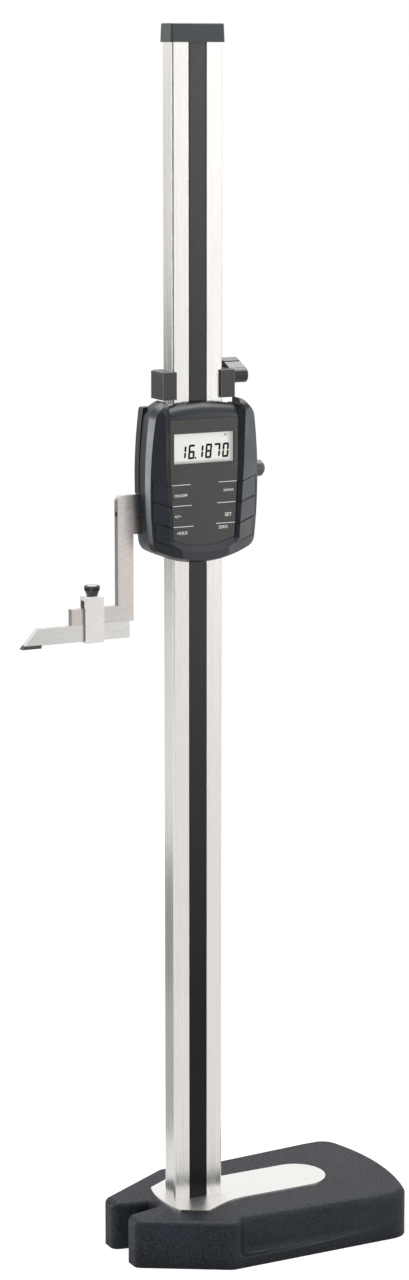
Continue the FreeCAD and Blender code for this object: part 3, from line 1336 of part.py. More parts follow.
def make_lever():
    """The clamp lever: a round hub on a stud, with a finger tab that rises behind it."""
    face = "carriage_half + gap"
    start = f"{COLUMN_X} + running + pad_plug"
    plug = rod("ClampPlug", "x", (f"{COLUMN_X} + running", "0", up(LEVER_Z)), "lever_stud", "pad_plug")
    node("clamp_plug", plug)
    body = new_body("LeverTab")
    tab = [
        ("-lever_front", up(LEVER_Z)),
        ("-lever_front", up(f"{LEVER_Z} + lever_radius - gap")),
        ("lever_crest", up(f"{LEVER_Z} + lever_rise")),
        ("lever_crest", up(f"{LEVER_Z} + lever_rise - lever_step")),
        ("lever_crest + lever_step", up(f"{LEVER_Z} + lever_rise - lever_step")),
        ("lever_crest + lever_step", up(f"{LEVER_Z} + lever_rise + lever_step / 2")),
        ("lever_back", up(f"{LEVER_Z} + lever_lip")),
        ("lever_back", up(f"{LEVER_Z} + lever_under")),
        ("lever_radius", up(f"{LEVER_Z} + lever_radius / 3")),
        ("lever_radius / 2", up(LEVER_Z)),
    ]
    side = draw(sketch(body, "TabSide", "YZ_Plane", face), tab)
    pad(body, "Tab", side, f"lever_end - ({face})")
    hub = rod("LeverHub", "x", (face, "0", up(LEVER_Z)), "lever_radius", f"lever_end - ({face})")
    stud = rod("LeverStud", "x", (start, "0", up(LEVER_Z)), "lever_stud", f"{face} - ({start})")
    node("clamp_lever", fuse("ClampLever", body, hub, stud))


make_base()
make_pad()
make_column()
make_cap()
make_slider()
make_gib()
make_jaw()
make_scriber()
make_clamp()
make_front_shell()
make_rear_shell()
make_display()
make_boards()
make_keys()
make_battery()
make_lock()
make_carriage()
make_lever()
doc.recompute()

for item in doc.Objects:
    if "Invalid" in item.State or "Error" in item.State:
        raise RuntimeError(f"{item.Name} failed: {item.State}")
for item in NODES:
    if item.Shape.isNull() or not item.Shape.isValid():
        raise RuntimeError(f"{item.Label} has no valid shape")

os.makedirs("parts", exist_ok=True)
for item in NODES:
    item.Shape.exportStep(f"parts/{item.Label}.step")
    print(item.Label, len(item.Shape.Solids), round(item.Shape.Volume, 1))
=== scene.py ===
import math

import bmesh
import bpy
from mathutils import Matrix, Vector


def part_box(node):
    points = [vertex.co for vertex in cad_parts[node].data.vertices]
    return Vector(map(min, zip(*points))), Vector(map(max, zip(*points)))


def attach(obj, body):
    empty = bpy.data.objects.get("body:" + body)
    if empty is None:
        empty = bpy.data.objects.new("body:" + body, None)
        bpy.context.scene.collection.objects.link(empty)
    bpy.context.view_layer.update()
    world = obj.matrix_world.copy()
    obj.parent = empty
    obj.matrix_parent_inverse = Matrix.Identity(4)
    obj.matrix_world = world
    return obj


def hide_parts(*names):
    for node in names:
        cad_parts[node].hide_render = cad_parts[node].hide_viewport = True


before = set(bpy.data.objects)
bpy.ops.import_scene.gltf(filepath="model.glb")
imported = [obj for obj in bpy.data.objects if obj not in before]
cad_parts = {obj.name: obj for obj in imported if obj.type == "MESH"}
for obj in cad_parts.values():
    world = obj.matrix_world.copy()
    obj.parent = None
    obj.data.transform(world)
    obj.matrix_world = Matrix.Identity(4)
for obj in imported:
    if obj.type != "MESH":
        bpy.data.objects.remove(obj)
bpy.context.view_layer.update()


# Base casting: grey cast iron with a notch for the jaw and a finger grip in each long side. It is
# sprayed with charcoal crinkle enamel, which dries into fine wrinkles: a dull skin that breaks
# every highlight into specks. Painted shade darkens it in the corners, and a painted highlight
# makes it pale along sharp edges.
MM = 0.001


def colour(text):
    """An sRGB hex colour as the scene's linear value."""
    parts = [int(text[i:i + 2], 16) / 255 for i in (1, 3, 5)]
    return [c / 12.92 if c <= 0.04045 else ((c + 0.055) / 1.055) ** 2.4 for c in parts] + [1.0]


def add(tree, kind, inputs=(), **settings):
    """Adds a shader node. An input is a value, an output, or a node that gives its first output."""
    made = tree.nodes.new("ShaderNode" + kind)
    for name, setting in settings.items():
        setattr(made, name, setting)
    for socket, given in dict(inputs).items():
        if isinstance(given, bpy.types.Node):
            given = next(output for output in given.outputs if output.enabled)
        if isinstance(given, bpy.types.NodeSocket):
            tree.links.new(given, made.inputs[socket])
        else:
            made.inputs[socket].default_value = given
    return made


def new_material(name):
    made = bpy.data.materials.new(name)
    made.use_nodes = True
    made.node_tree.nodes.clear()
    return made, made.node_tree


def dress(made, *names):
    """Gives CAD nodes their material."""
    for name in names:
        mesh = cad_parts[name].data
        mesh.materials.clear()
        mesh.materials.append(made)


WRINKLE = 1.3  # mm, width of a wrinkle; real ones are about half as wide and would not show
enamel, tree = new_material("crinkle_enamel")
place = add(tree, "TexCoord").outputs["Object"]
wrinkles = add(tree, "TexNoise", {"Vector": place, "Scale": 1 / (WRINKLE * MM), "Detail": 2.0,
                                  "Distortion": 0.6})
fine = add(tree, "MapRange", {"Value": wrinkles, "From Min": 0.35, "From Max": 0.65})
patches = add(tree, "TexNoise", {"Vector": place, "Scale": 1 / (35 * MM), "Detail": 3.0})
wide = add(tree, "MapRange", {"Value": patches, "From Min": 0.35, "From Max": 0.65, "To Max": 0.4})
coat = add(tree, "Mix", {"Factor": fine, "A": colour("#0c0e12"), "B": colour("#262b33")}, data_type="RGBA")
coat = add(tree, "Mix", {"Factor": wide, "A": coat, "B": colour("#2c323b")}, data_type="RGBA")
# Painted shade: ambient occlusion darkens the coat toward near black in corners and hollows.
ao_shade = add(tree, "AmbientOcclusion", {"Distance": 16 * MM}, samples=8).outputs["AO"]
coat = add(tree, "Mix", {"Factor": ao_shade, "A": colour("#030405"), "B": coat}, data_type="RGBA")
# Painted highlight: the coat turns pale grey-blue where the bevelled normal turns at an edge.
soft = add(tree, "Bevel", {"Radius": 0.9 * MM}, samples=6)
flat = add(tree, "NewGeometry").outputs["Normal"]
turned = add(tree, "VectorMath", {0: soft, 1: flat}, operation="DOT_PRODUCT").outputs["Value"]
edge = add(tree, "MapRange", {"Value": turned, "From Min": 0.995, "From Max": 0.9, "To Max": 0.55})
coat = add(tree, "Mix", {"Factor": edge, "A": coat, "B": colour("#5a626c")}, data_type="RGBA")
gloss = add(tree, "MapRange", {"Value": wrinkles, "From Min": 0.3, "From Max": 0.7, "To Min": 0.6,
                               "To Max": 0.42})
relief = add(tree, "Bump", {"Height": wrinkles, "Strength": 1.0, "Distance": 0.2 * MM, "Normal": soft})
shader = add(tree, "BsdfPrincipled", {"Base Color": coat, "Roughness": gloss, "Normal": relief,
                                      "Specular IOR Level": 0.22})
add(tree, "OutputMaterial", {"Surface": shader})
dress(enamel, "base_casting")


# Ground pad: a steel plate let into the casting, ground and lapped flat so that the column stands
# square. The wheel leaves fine lines along the pad, which stretch its reflections across them.
def machined(name, dark, light, roughness, lines, depth=0.004, edge=0.15):
    """Bare metal with the lines of its last cut, whose length along each axis is given in mm."""
    made, tree = new_material(name)
    place = add(tree, "TexCoord").outputs["Object"]
    along = add(tree, "Mapping", {"Vector": place, "Scale": [1 / (size * MM) for size in lines]})
    streaks = add(tree, "TexNoise", {"Vector": along, "Scale": 1.0, "Detail": 4.0})
    tone = add(tree, "MapRange", {"Value": streaks, "From Min": 0.32, "From Max": 0.68})
    skin = add(tree, "Mix", {"Factor": tone, "A": colour(dark), "B": colour(light)}, data_type="RGBA")
    sheen = add(tree, "MapRange", {"Value": streaks, "From Min": 0.3, "From Max": 0.7,
                                   "To Min": roughness * 1.25, "To Max": roughness * 0.8})
    soft = add(tree, "Bevel", {"Radius": edge * MM}, samples=4)
    relief = add(tree, "Bump", {"Height": streaks, "Strength": 1.0, "Distance": depth * MM, "Normal": soft})
    shader = add(tree, "BsdfPrincipled", {"Base Color": skin, "Metallic": 1.0, "Roughness": sheen,
                                          "Normal": relief})
    add(tree, "OutputMaterial", {"Surface": shader})
    return made


dress(machined("lapped_pad_steel", "#d3d2d0", "#e0dfdd", 0.36, (30, 0.6, 0.6)), "ground_pad")

# Column: a bar of hardened tool steel, ground along its length on all four sides and bevelled at
# its edges. The long lines make a silky face that carries the light down it in soft streaks.
dress(machined("column_steel", "#dedbd7", "#efece8", 0.25, (0.7, 0.7, 120), 0.002, 0.3), "column")

# Scale strip: the measuring scale under a bonded dark film, let into a groove in the column's
# front. It is darker along each long edge, greyer towards its upper end and blackest near the base.
EDGE_LINE = 0.9  # mm, width of the dark line
low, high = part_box("scale_strip")
film, tree = new_material("scale_film")
place = add(tree, "TexCoord").outputs["Object"]
across = add(tree, "SeparateXYZ", {"Vector": place}).outputs["X"]
beside = add(tree, "Math", {0: across}, operation="ABSOLUTE")
rim = add(tree, "MapRange", {"Value": beside, "From Min": high.x - 1.5 * EDGE_LINE * MM,
                             "From Max": high.x - EDGE_LINE * MM})
dust = add(tree, "TexNoise", {"Vector": place, "Scale": 1 / (6 * MM), "Detail": 4.0})
grey_mottle = add(tree, "Mix", {"Factor": dust, "A": colour("#302f2f"), "B": colour("#3b3b3a")}, data_type="RGBA")
level = add(tree, "SeparateXYZ", {"Vector": place}).outputs["Z"]
upper = add(tree, "MapRange", {"Value": level, "From Min": 0.58, "From Max": 0.8})
lower = add(tree, "MapRange", {"Value": level, "From Min": 0.42, "From Max": 0.16})
face = add(tree, "Mix", {"Factor": upper, "A": colour("#101010"), "B": grey_mottle}, data_type="RGBA")
face = add(tree, "Mix", {"Factor": lower, "A": face, "B": colour("#080b10")}, data_type="RGBA")
shade = add(tree, "Mix", {"Factor": rim, "A": face, "B": colour("#08090a")}, data_type="RGBA")
sheen = add(tree, "MapRange", {"Value": dust, "To Min": 0.26, "To Max": 0.36})
shine = add(tree, "MapRange", {"Value": lower, "To Min": 0.5, "To Max": 0.22})
shader = add(tree, "BsdfPrincipled", {"Base Color": shade, "Roughness": sheen, "Specular IOR Level": shine})
add(tree, "OutputMaterial", {"Surface": shader})
dress(film, "scale_strip")


# Socket screws of blackened steel: two bolts hold the column from under the base, and two small
# ones hold the cap from behind. Their turned heads have a broken edge and a pressed hexagon.
def finished(name, shape, body, slot, materials, *replaced):
    """Turns a bmesh into a piece that rides on a body and stands for some CAD nodes."""
    mesh = bpy.data.meshes.new(name)
    bmesh.ops.recalc_face_normals(shape, faces=shape.faces)
    shape.to_mesh(mesh)
    shape.free()
    for made in materials:
        mesh.materials.append(made)
    made = bpy.data.objects.new(name, mesh)
    bpy.context.scene.collection.objects.link(made)
    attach(made, body)
    if replaced:
        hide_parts(*replaced)
    return made


def rod(shape, radius, length, sides):
    """A closed rod that starts at the origin and runs up Z. Returns its upper end face."""
    before = set(shape.faces)
    bmesh.ops.create_cone(shape, cap_ends=True, segments=sides, radius1=radius, radius2=radius,
                          depth=length, matrix=Matrix.Translation((0, 0, length / 2)))
    made = [face for face in shape.faces if face not in before]
    return max(made, key=lambda face: face.calc_center_median().z)


def grow(shape, face, ratio, rise):
    """Extrudes an end face, scales the new one about Z and moves it up."""
    face = bmesh.ops.extrude_discrete_faces(shape, faces=[face])["faces"][0]
    bmesh.ops.scale(shape, vec=(ratio, ratio, 1), verts=face.verts)
    bmesh.ops.translate(shape, vec=(0, 0, rise), verts=face.verts)
    return face


def socket_screw(shape, place, stem, length, head, height, socket):
    """A screw whose head's seat is put at a place: the stem below it, the head above."""
    before = set(shape.verts)
    face = rod(shape, stem, length, 36)
    face = grow(shape, face, head / stem, 0)
    face = grow(shape, face, 1, height * 0.86)
    face = grow(shape, face, 1 - 0.14 * height / head, height * 0.14)
    face = grow(shape, face, socket / head, 0)
    for vert in face.verts:
        turn = math.atan2(vert.co.y, vert.co.x) % (math.pi / 3) - math.pi / 6
        reach = socket / math.cos(turn)
        vert.co.x, vert.co.y = reach * vert.co.x / vert.co.xy.length, reach * vert.co.y / vert.co.xy.length
    grow(shape, face, 1, -height * 0.6)
    made = [vert for vert in shape.verts if vert not in before]
    bmesh.ops.transform(shape, matrix=place @ Matrix.Translation((0, 0, -length)), verts=made)


black_steel = machined("black_oxide_steel", "#232427", "#37393d", 0.4, (0.5, 0.5, 0.5))
FACING_DOWN = Matrix.Rotation(math.pi, 4, "X")
FACING_BACK = Matrix.Rotation(-math.pi / 2, 4, "X")
BOLT_HEAD = 6 * MM  # height of the head
low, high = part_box("column_bolts")
radius = (high.y - low.y) / 2
shape = bmesh.new()
for x in (low.x + radius, high.x - radius):
    seat = Matrix.Translation((x, 0, low.z + BOLT_HEAD)) @ FACING_DOWN
    socket_screw(shape, seat, 3 * MM, high.z - low.z - BOLT_HEAD, radius, BOLT_HEAD, 2.1 * MM)
finished("column_bolts_turned", shape, "stand", "black_steel", [black_steel], "column_bolts")

# Top cap: a moulded plastic cap pushed over the column's upper end. Its faces are satin from the
# spark-eroded mould, and it is held by the two small socket screws behind.
def moulded(name, dark, light, roughness, grain=0.35, depth=0.012, edge=0.3, glow=0.5):
    """Plastic with a mould's fine texture, whose grain and depth are given in mm. Painted shade darkens it
    and dims its reflections in gaps.
    """
    made, tree = new_material(name)
    place = add(tree, "TexCoord").outputs["Object"]
    pits = add(tree, "TexNoise", {"Vector": place, "Scale": 1 / (grain * MM), "Detail": 3.0})
    tone = add(tree, "MapRange", {"Value": pits, "From Min": 0.3, "From Max": 0.7})
    skin = add(tree, "Mix", {"Factor": tone, "A": colour(dark), "B": colour(light)}, data_type="RGBA")
    touch = add(tree, "TexNoise", {"Vector": place, "Scale": 1 / (14 * MM), "Detail": 3.0})
    sheen = add(tree, "MapRange", {"Value": touch, "From Min": 0.3, "From Max": 0.7,
                                   "To Min": roughness * 1.12, "To Max": roughness * 0.9})
    # Painted shade: ambient occlusion darkens the plastic to near black in gaps and lowers its specular
    # there.
    ao_shade = add(tree, "AmbientOcclusion", {"Distance": 1.6 * MM}, samples=6).outputs["AO"]
    clear = add(tree, "MapRange", {"Value": ao_shade, "From Min": 0.45, "From Max": 0.85})
    skin = add(tree, "Mix", {"Factor": clear, "A": colour("#030405"), "B": skin}, data_type="RGBA")
    shine = add(tree, "MapRange", {"Value": clear, "To Min": 0.05, "To Max": glow})
    soft = add(tree, "Bevel", {"Radius": edge * MM}, samples=4)
    relief = add(tree, "Bump", {"Height": pits, "Strength": 1.0, "Distance": depth * MM, "Normal": soft})
    shader = add(tree, "BsdfPrincipled", {"Base Color": skin, "Roughness": sheen, "Normal": relief,
                                          "Specular IOR Level": shine})
    add(tree, "OutputMaterial", {"Surface": shader})
    return made


dress(moulded("cap_plastic", "#262b2d", "#33393b", 0.4), "top_cap")
CAP_SCREW_HEAD = 1.6 * MM
low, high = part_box("cap_screws")
radius = (high.z - low.z) / 2
shape = bmesh.new()
for x in (low.x + radius, high.x - radius):
    seat = Matrix.Translation((x, high.y - CAP_SCREW_HEAD, low.z + radius)) @ FACING_BACK
    stem = high.y - low.y - CAP_SCREW_HEAD
    socket_screw(shape, seat, 1.5 * MM, stem, radius, CAP_SCREW_HEAD, 1.1 * MM)
finished("cap_screws_turned", shape, "stand", "black_steel", [black_steel], "cap_screws")

# Slider frame: the steel body of the head, milled and ground to run on the column, with a brass
# gib and its three adjusting screws on the right and a brass plug under the lock knob.
dress(machined("slider_steel", "#7d7f82", "#94969a", 0.38, (0.6, 0.6, 14)), "slider_frame")
brass = machined("wear_brass", "#a98640", "#c9a75d", 0.3, (0.5, 0.5, 5))
dress(brass, "gib_strip", "lock_plug", "clamp_plug")
dress(black_steel, "gib_screws", "jaw_screws")

# Jaw: one plate of hardened steel with arm, limb and foot, surface-ground along the arm. Its
# faces that look left are painted a darker grey: a painted shade on its left edge.
jaw_steel = machined("jaw_steel", "#c3bdb9", "#d3cdc9", 0.33, (4, 0.6, 0.9))
tree = jaw_steel.node_tree
shader = tree.nodes["Principled BSDF"]
# Painted shade: faces whose normal points left get a darker grey colour.
side = add(tree, "SeparateXYZ", {"Vector": add(tree, "NewGeometry").outputs["Normal"]}).outputs["X"]
left_face_shade = add(tree, "MapRange", {"Value": side, "From Min": -0.8, "From Max": -0.98, "To Max": 0.85})
ground = shader.inputs["Base Color"].links[0].from_socket
skin = add(tree, "Mix", {"Factor": left_face_shade, "A": ground, "B": colour("#7b7a78")}, data_type="RGBA")
tree.links.new(skin.outputs["Result"], shader.inputs["Base Color"])
dress(jaw_steel, "jaw")

# Scriber: a ground steel blade with a slanted end, held under the jaw's foot. Its point is a small
# block of hard metal brazed on and ground with it, greyer than the steel.
dress(machined("scriber_steel", "#d3d1ce", "#e8e6e3", 0.28, (20, 0.5, 0.4)), "scriber")
dress(machined("hard_metal", "#4a4a4b", "#666667", 0.26, (5, 0.3, 0.3)), "carbide_tip")

# Scriber clamp: a loop milled from steel that holds the scriber against the foot, ground across
# its face, which leaves level lines.
dress(machined("clamp_steel", "#dcd9d6", "#f1eeeb", 0.3, (12, 0.5, 0.45), 0.006), "scriber_clamp")

# Clamp screw: turned steel with a cone under its head. The head has a straight knurl and is
# blackened, except for its top, which was faced bright afterwards.
TEETH = 40
TOOTH = 0.3 * MM  # depth of the knurl
RIM = 0.5 * MM  # bevel at the ends of a knurled head
low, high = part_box("clamp_screw")
radius = (high.x - low.x) / 2
stem_end = high.z - low.z - 6.2 * MM
shape = bmesh.new()
face = rod(shape, 2 * MM, stem_end, 2 * TEETH)
face = grow(shape, face, 1.7, 0)
face = grow(shape, face, (radius - RIM) / (3.4 * MM), 3 * MM)
face = grow(shape, face, radius / (radius - RIM), 0.3 * MM)
for vert in list(face.verts)[::2]:
    vert.co.xy *= 1 - TOOTH / radius
face = grow(shape, face, 1, 2.5 * MM)
face = grow(shape, face, 1 - RIM / radius, 0.4 * MM)
face.material_index = 2
face = grow(shape, face, 0.72, 0)
face.material_index = 1
bmesh.ops.translate(shape, vec=((low.x + high.x) / 2, 0, low.z), verts=shape.verts)
knurled = machined("blackened_knurl", "#39393b", "#59595c", 0.36, (0.5, 0.5, 0.5))
faced = machined("faced_steel", "#cfcdca", "#e9e7e4", 0.25, (0.5, 0.5, 0.5))
finished("clamp_screw_knurled", shape, "screw", "knurled_steel", [knurled, faced, black_steel], "clamp_screw")

# Housing of the head: two shells of dark blue-grey plastic, moulded with a satin texture, which
# meet along a seam at the side. Four small screws hold the rear shell from behind.
dress(moulded("shell_plastic", "#12161c", "#1d232a", 0.34), "housing_front", "housing_rear", "battery_tray")
SHELL_SCREW_HEAD = 1.2 * MM
low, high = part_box("housing_screws")
shape = bmesh.new()
radius = 2.1 * MM
for x in (low.x + radius, high.x - radius):
    for z in (low.z + radius, high.z - radius):
        seat = Matrix.Translation((x, high.y - SHELL_SCREW_HEAD, z)) @ FACING_BACK
        stem = high.y - low.y - SHELL_SCREW_HEAD
        socket_screw(shape, seat, 1.2 * MM, stem, radius, SHELL_SCREW_HEAD, 0.9 * MM)
finished("housing_screws_turned", shape, "head", "black_steel", [black_steel], "housing_screws")

# Label: a printed polyester sheet glued into the sunken field, dark grey with a fine matt grain.
# Its words and the thin lines that lead from key to key are printed in white.
dress(moulded("label_film", "#2c2a29", "#353230", 0.34, 0.2, 0.006), "label_panel")
ink, tree = new_material("white_ink")
place = add(tree, "TexCoord").outputs["Object"]
cover = add(tree, "TexNoise", {"Vector": place, "Scale": 1 / (0.3 * MM), "Detail": 2.0})
white = add(tree, "Mix", {"Factor": cover, "A": colour("#c9c8c4"), "B": colour("#f2f1ee")}, data_type="RGBA")
matt = add(tree, "MapRange", {"Value": cover, "To Min": 0.45, "To Max": 0.6})
shader = add(tree, "BsdfPrincipled", {"Base Color": white, "Roughness": matt})
add(tree, "OutputMaterial", {"Surface": shader})
low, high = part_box("label_panel")
FACE = low.y - 0.01 * MM  # plane of the print, just in front of the label
UPRIGHT = Matrix.Rotation(math.pi / 2, 4, "X")
LINES = [  # ends of each line in mm: x and x, with its height
    (-22.6, -9.6, 509.9), (-22.1, -8.7, 496.7), (-21.7, -7.5, 483.4),
    (10.4, 22.8, 510.3), (9.3, 22.2, 497.15), (8.3, 21.7, 484.0),
]
WORDS = [  # words, the middle of each and its width in mm
    ("ON/OFF", -16.3, 503.1, 9.0), ("+/−", -18.4, 490.0, 4.6), ("HOLD", -15.3, 479.35, 7.0),
    ("in/mm", 17.25, 505.05, 6.8), ("SET", 17.0, 489.25, 4.8), ("ZERO", 13.35, 481.4, 6.6),
]


def print_words(shape, words, x, y, z, width):
    """Adds upright flat words of a width, centred on a point."""
    curve = bpy.data.curves.new("words", "FONT")
    curve.body = words
    curve.align_x = "CENTER"
    curve.align_y = "CENTER"
    curve.extrude = 0.003
    curve.offset = 0.012
    mesh = bpy.data.meshes.new_from_object(bpy.data.objects.new("words", curve))
    reach = [vert.co.x for vert in mesh.vertices]
    size = width / (max(reach) - min(reach))
    mesh.transform(Matrix.Translation((x, y, z)) @ UPRIGHT @ Matrix.Scale(size, 4))
    shape.from_mesh(mesh)


shape = bmesh.new()
for start, end, height in LINES:
    before = set(shape.verts)
    bmesh.ops.create_grid(shape, x_segments=1, y_segments=1, size=0.5)
    made = [vert for vert in shape.verts if vert not in before]
    bmesh.ops.scale(shape, vec=((end - start) * MM, 0.4 * MM, 1), verts=made)
    middle = Matrix.Translation(((start + end) / 2 * MM, FACE, height * MM))
    bmesh.ops.transform(shape, matrix=middle @ UPRIGHT, verts=made)
bmesh.ops.solidify(shape, geom=shape.faces, thickness=0.01 * MM)
for words, x, z, width in WORDS:
    print_words(shape, words, x * MM, FACE, z * MM, width * MM)
finished("label_print", shape, "head", "label_film", [ink])

# Display: a reflective liquid-crystal cell behind a clear acrylic window. The cell is a pale warm
# grey, shaded at its right and lower edges by the window's frame, and its digits are near black.
pane, tree = new_material("acrylic_window")
place = add(tree, "TexCoord").outputs["Object"]
smear = add(tree, "TexNoise", {"Vector": place, "Scale": 1 / (9 * MM), "Detail": 3.0})
polish = add(tree, "MapRange", {"Value": smear, "To Min": 0.03, "To Max": 0.09})
shader = add(tree, "BsdfPrincipled", {"Base Color": colour("#8f9190"), "Roughness": polish, "Alpha": 0.05})
add(tree, "OutputMaterial", {"Surface": shader})
dress(pane, "display_window")
low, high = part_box("display_window")
cell, tree = new_material("crystal_cell")
place = add(tree, "TexCoord").outputs["Object"]
parts = add(tree, "SeparateXYZ", {"Vector": place})
right = add(tree, "MapRange", {"Value": parts.outputs["X"], "From Min": high.x - 5 * MM, "From Max": high.x})
below = add(tree, "MapRange", {"Value": parts.outputs["Z"], "From Min": low.z + 2.5 * MM, "From Max": low.z})
shadow = add(tree, "Math", {0: right, 1: below}, operation="MAXIMUM")
mottle = add(tree, "TexNoise", {"Vector": place, "Scale": 1 / (0.25 * MM), "Detail": 2.0})
pale = add(tree, "Mix", {"Factor": mottle, "A": colour("#f3f2ed"), "B": colour("#fbfaf6")}, data_type="RGBA")
shaded = add(tree, "Mix", {"Factor": shadow, "A": pale, "B": colour("#aeada8")}, data_type="RGBA")
shader = add(tree, "BsdfPrincipled", {"Base Color": shaded, "Roughness": 0.55})
add(tree, "OutputMaterial", {"Surface": shader})
dress(cell, "display_module")

SHOWN = "16.1870"
SEGMENTS = {"0": "abcdef", "1": "bc", "6": "acdefg", "7": "abc", "8": "abcdefg"}
WIDE, TALL, STROKE = 4.5 * MM, 9.2 * MM, 1.35 * MM
out, up = (WIDE - STROKE) / 2, (TALL - STROKE) / 2
BARS = {  # middle of each bar, its length, and whether it lies level
    "a": (0, up, WIDE, True), "g": (0, 0, WIDE, True), "d": (0, -up, WIDE, True),
    "b": (out, up / 2, up, False), "c": (out, -up / 2, up, False),
    "f": (-out, up / 2, up, False), "e": (-out, -up / 2, up, False),
}
FIRST = low.x + 0.101 * (high.x - low.x) + WIDE / 2
PITCH = 0.143 * (high.x - low.x)
shape = bmesh.new()
count = 0
for mark in SHOWN:
    before = set(shape.verts)
    if mark == ".":
        bmesh.ops.create_circle(shape, cap_ends=True, segments=4, radius=0.85 * MM)
        made = [vert for vert in shape.verts if vert not in before]
        centre = (FIRST + (count - 0.5) * PITCH, -up, 0)
        bmesh.ops.rotate(shape, matrix=Matrix.Rotation(math.pi / 4, 3, "Z"), verts=made)
        bmesh.ops.translate(shape, vec=centre, verts=made)
        continue
    for name in SEGMENTS[mark]:
        x, y, length, level = BARS[name]
        old = set(shape.verts)
        bmesh.ops.create_circle(shape, cap_ends=True, segments=6, radius=STROKE / math.sqrt(3))
        bar = [vert for vert in shape.verts if vert not in old]
        for vert in bar:
            vert.co.y += math.copysign((length - STROKE * 1.3) / 2, vert.co.y) if vert.co.y else 0
        turn = Matrix.Rotation(math.pi / 2, 4, "Z") if level else Matrix()
        bmesh.ops.transform(shape, matrix=Matrix.Translation((x, y, 0)) @ turn, verts=bar)
    made = [vert for vert in shape.verts if vert not in before]
    bmesh.ops.translate(shape, vec=(FIRST + count * PITCH, 0, 0), verts=made)
    count += 1
bmesh.ops.solidify(shape, geom=shape.faces, thickness=0.01 * MM)
LEAN = Matrix(((1, math.tan(math.radians(5)), 0, 0), (0, 1, 0, 0), (0, 0, 1, 0), (0, 0, 0, 1)))
middle = Matrix.Translation((0, high.y - 0.02 * MM, low.z + 7.4 * MM))
bmesh.ops.transform(shape, matrix=middle @ UPRIGHT @ LEAN, verts=shape.verts)
print_words(shape, "in", 15.4 * MM, high.y - 0.02 * MM, high.z - 1.75 * MM, 1.6 * MM)
digits = moulded("crystal_digits", "#060708", "#0e0f10", 0.5, 0.2, 0.001)
finished("display_digits", shape, "head", "display_cell", [digits])

# Keys: six caps of the same plastic as the housing, cut to the shape of its leaning wings so that
# they run on from it. They are a little smoother from use.
dress(moulded("key_plastic", "#151a20", "#20262d", 0.33, 0.35, 0.01), *(f"key_{i}" for i in range(1, 7)))

# Inside the head: two circuit boards with green solder resist over copper, pressed switch domes
# under the keys, and the spring contact and coin cell of nickel-plated steel.
resist, tree = new_material("solder_resist")
place = add(tree, "TexCoord").outputs["Object"]
tracks = add(tree, "TexVoronoi", {"Vector": place, "Scale": 1 / (3 * MM)}, distance="MANHATTAN",
             feature="DISTANCE_TO_EDGE")
covered = add(tree, "MapRange", {"Value": tracks, "From Min": 0.06, "From Max": 0.09})
green = add(tree, "Mix", {"Factor": covered, "A": colour("#2f7a4c"), "B": colour("#1c4b30")},
            data_type="RGBA")
step = add(tree, "Bump", {"Height": covered, "Strength": 0.5, "Distance": 0.03 * MM})
shader = add(tree, "BsdfPrincipled", {"Base Color": green, "Roughness": 0.3, "Normal": step})
add(tree, "OutputMaterial", {"Surface": shader})
dress(resist, "circuit_board", "sensor_board")
dress(machined("nickel_plate", "#c0c0be", "#dcdcd9", 0.22, (1, 1, 1)), "coin_cell", "battery_contact",
      "key_domes")

# Lock knob: a grey moulded knob on a threaded shaft, with a domed end.
dress(moulded("knob_plastic", "#474849", "#565758", 0.34), "lock_knob")

# Carriage: die-cast metal with a satin dark grey paint. A pale line is painted along each edge as a
# painted highlight.
paint, tree = new_material("satin_cast_paint")
place = add(tree, "TexCoord").outputs["Object"]
speck = add(tree, "TexNoise", {"Vector": place, "Scale": 1 / (0.4 * MM), "Detail": 3.0})
skin = add(tree, "Mix", {"Factor": speck, "A": colour("#202021"), "B": colour("#2c2c2c")}, data_type="RGBA")
# Painted highlight: where the bevelled normal turns at an edge, the colour goes pale grey.
soft = add(tree, "Bevel", {"Radius": 0.45 * MM}, samples=6)
flat = add(tree, "NewGeometry").outputs["Normal"]
turned = add(tree, "VectorMath", {0: soft, 1: flat}, operation="DOT_PRODUCT").outputs["Value"]
painted_edge_highlight = add(tree, "MapRange", {"Value": turned, "From Min": 0.99, "From Max": 0.88, "To Max": 0.9})
skin = add(tree, "Mix", {"Factor": painted_edge_highlight, "A": skin, "B": colour("#a9a7a3")}, data_type="RGBA")
relief = add(tree, "Bump", {"Height": speck, "Strength": 1.0, "Distance": 0.012 * MM, "Normal": soft})
shader = add(tree, "BsdfPrincipled", {"Base Color": skin, "Roughness": 0.36, "Normal": relief})
add(tree, "OutputMaterial", {"Surface": shader})
dress(paint, "carriage_frame")

# Feed screw: a steel screw with a rolled V thread of 1 mm pitch, fixed in the slider frame's lug
# behind the column.
THREAD = 1.0 * MM  # pitch
STEPS = 24  # faces round one turn
low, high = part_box("feed_screw")
radius = (high.x - low.x) / 2
turns = math.ceil((high.z - low.z) / THREAD) + 2
shape = bmesh.new()
profile = [(radius - 0.45 * MM, 0), (radius, 0.42), (radius, 0.58), (radius - 0.45 * MM, 1)]
corners = [shape.verts.new((reach, 0, rise * THREAD)) for reach, rise in profile]
edges = [shape.edges.new(pair) for pair in zip(corners, corners[1:])]
bmesh.ops.spin(shape, geom=corners + edges, axis=(0, 0, 1), cent=(0, 0, 0), angle=2 * math.pi * turns,
               steps=STEPS * turns, dvec=(0, 0, THREAD / STEPS), use_duplicate=False)
bmesh.ops.remove_doubles(shape, verts=shape.verts, dist=0.01 * MM)
bmesh.ops.translate(shape, vec=((low.x + high.x) / 2, (low.y + high.y) / 2, low.z - 1.5 * THREAD),
                    verts=shape.verts)
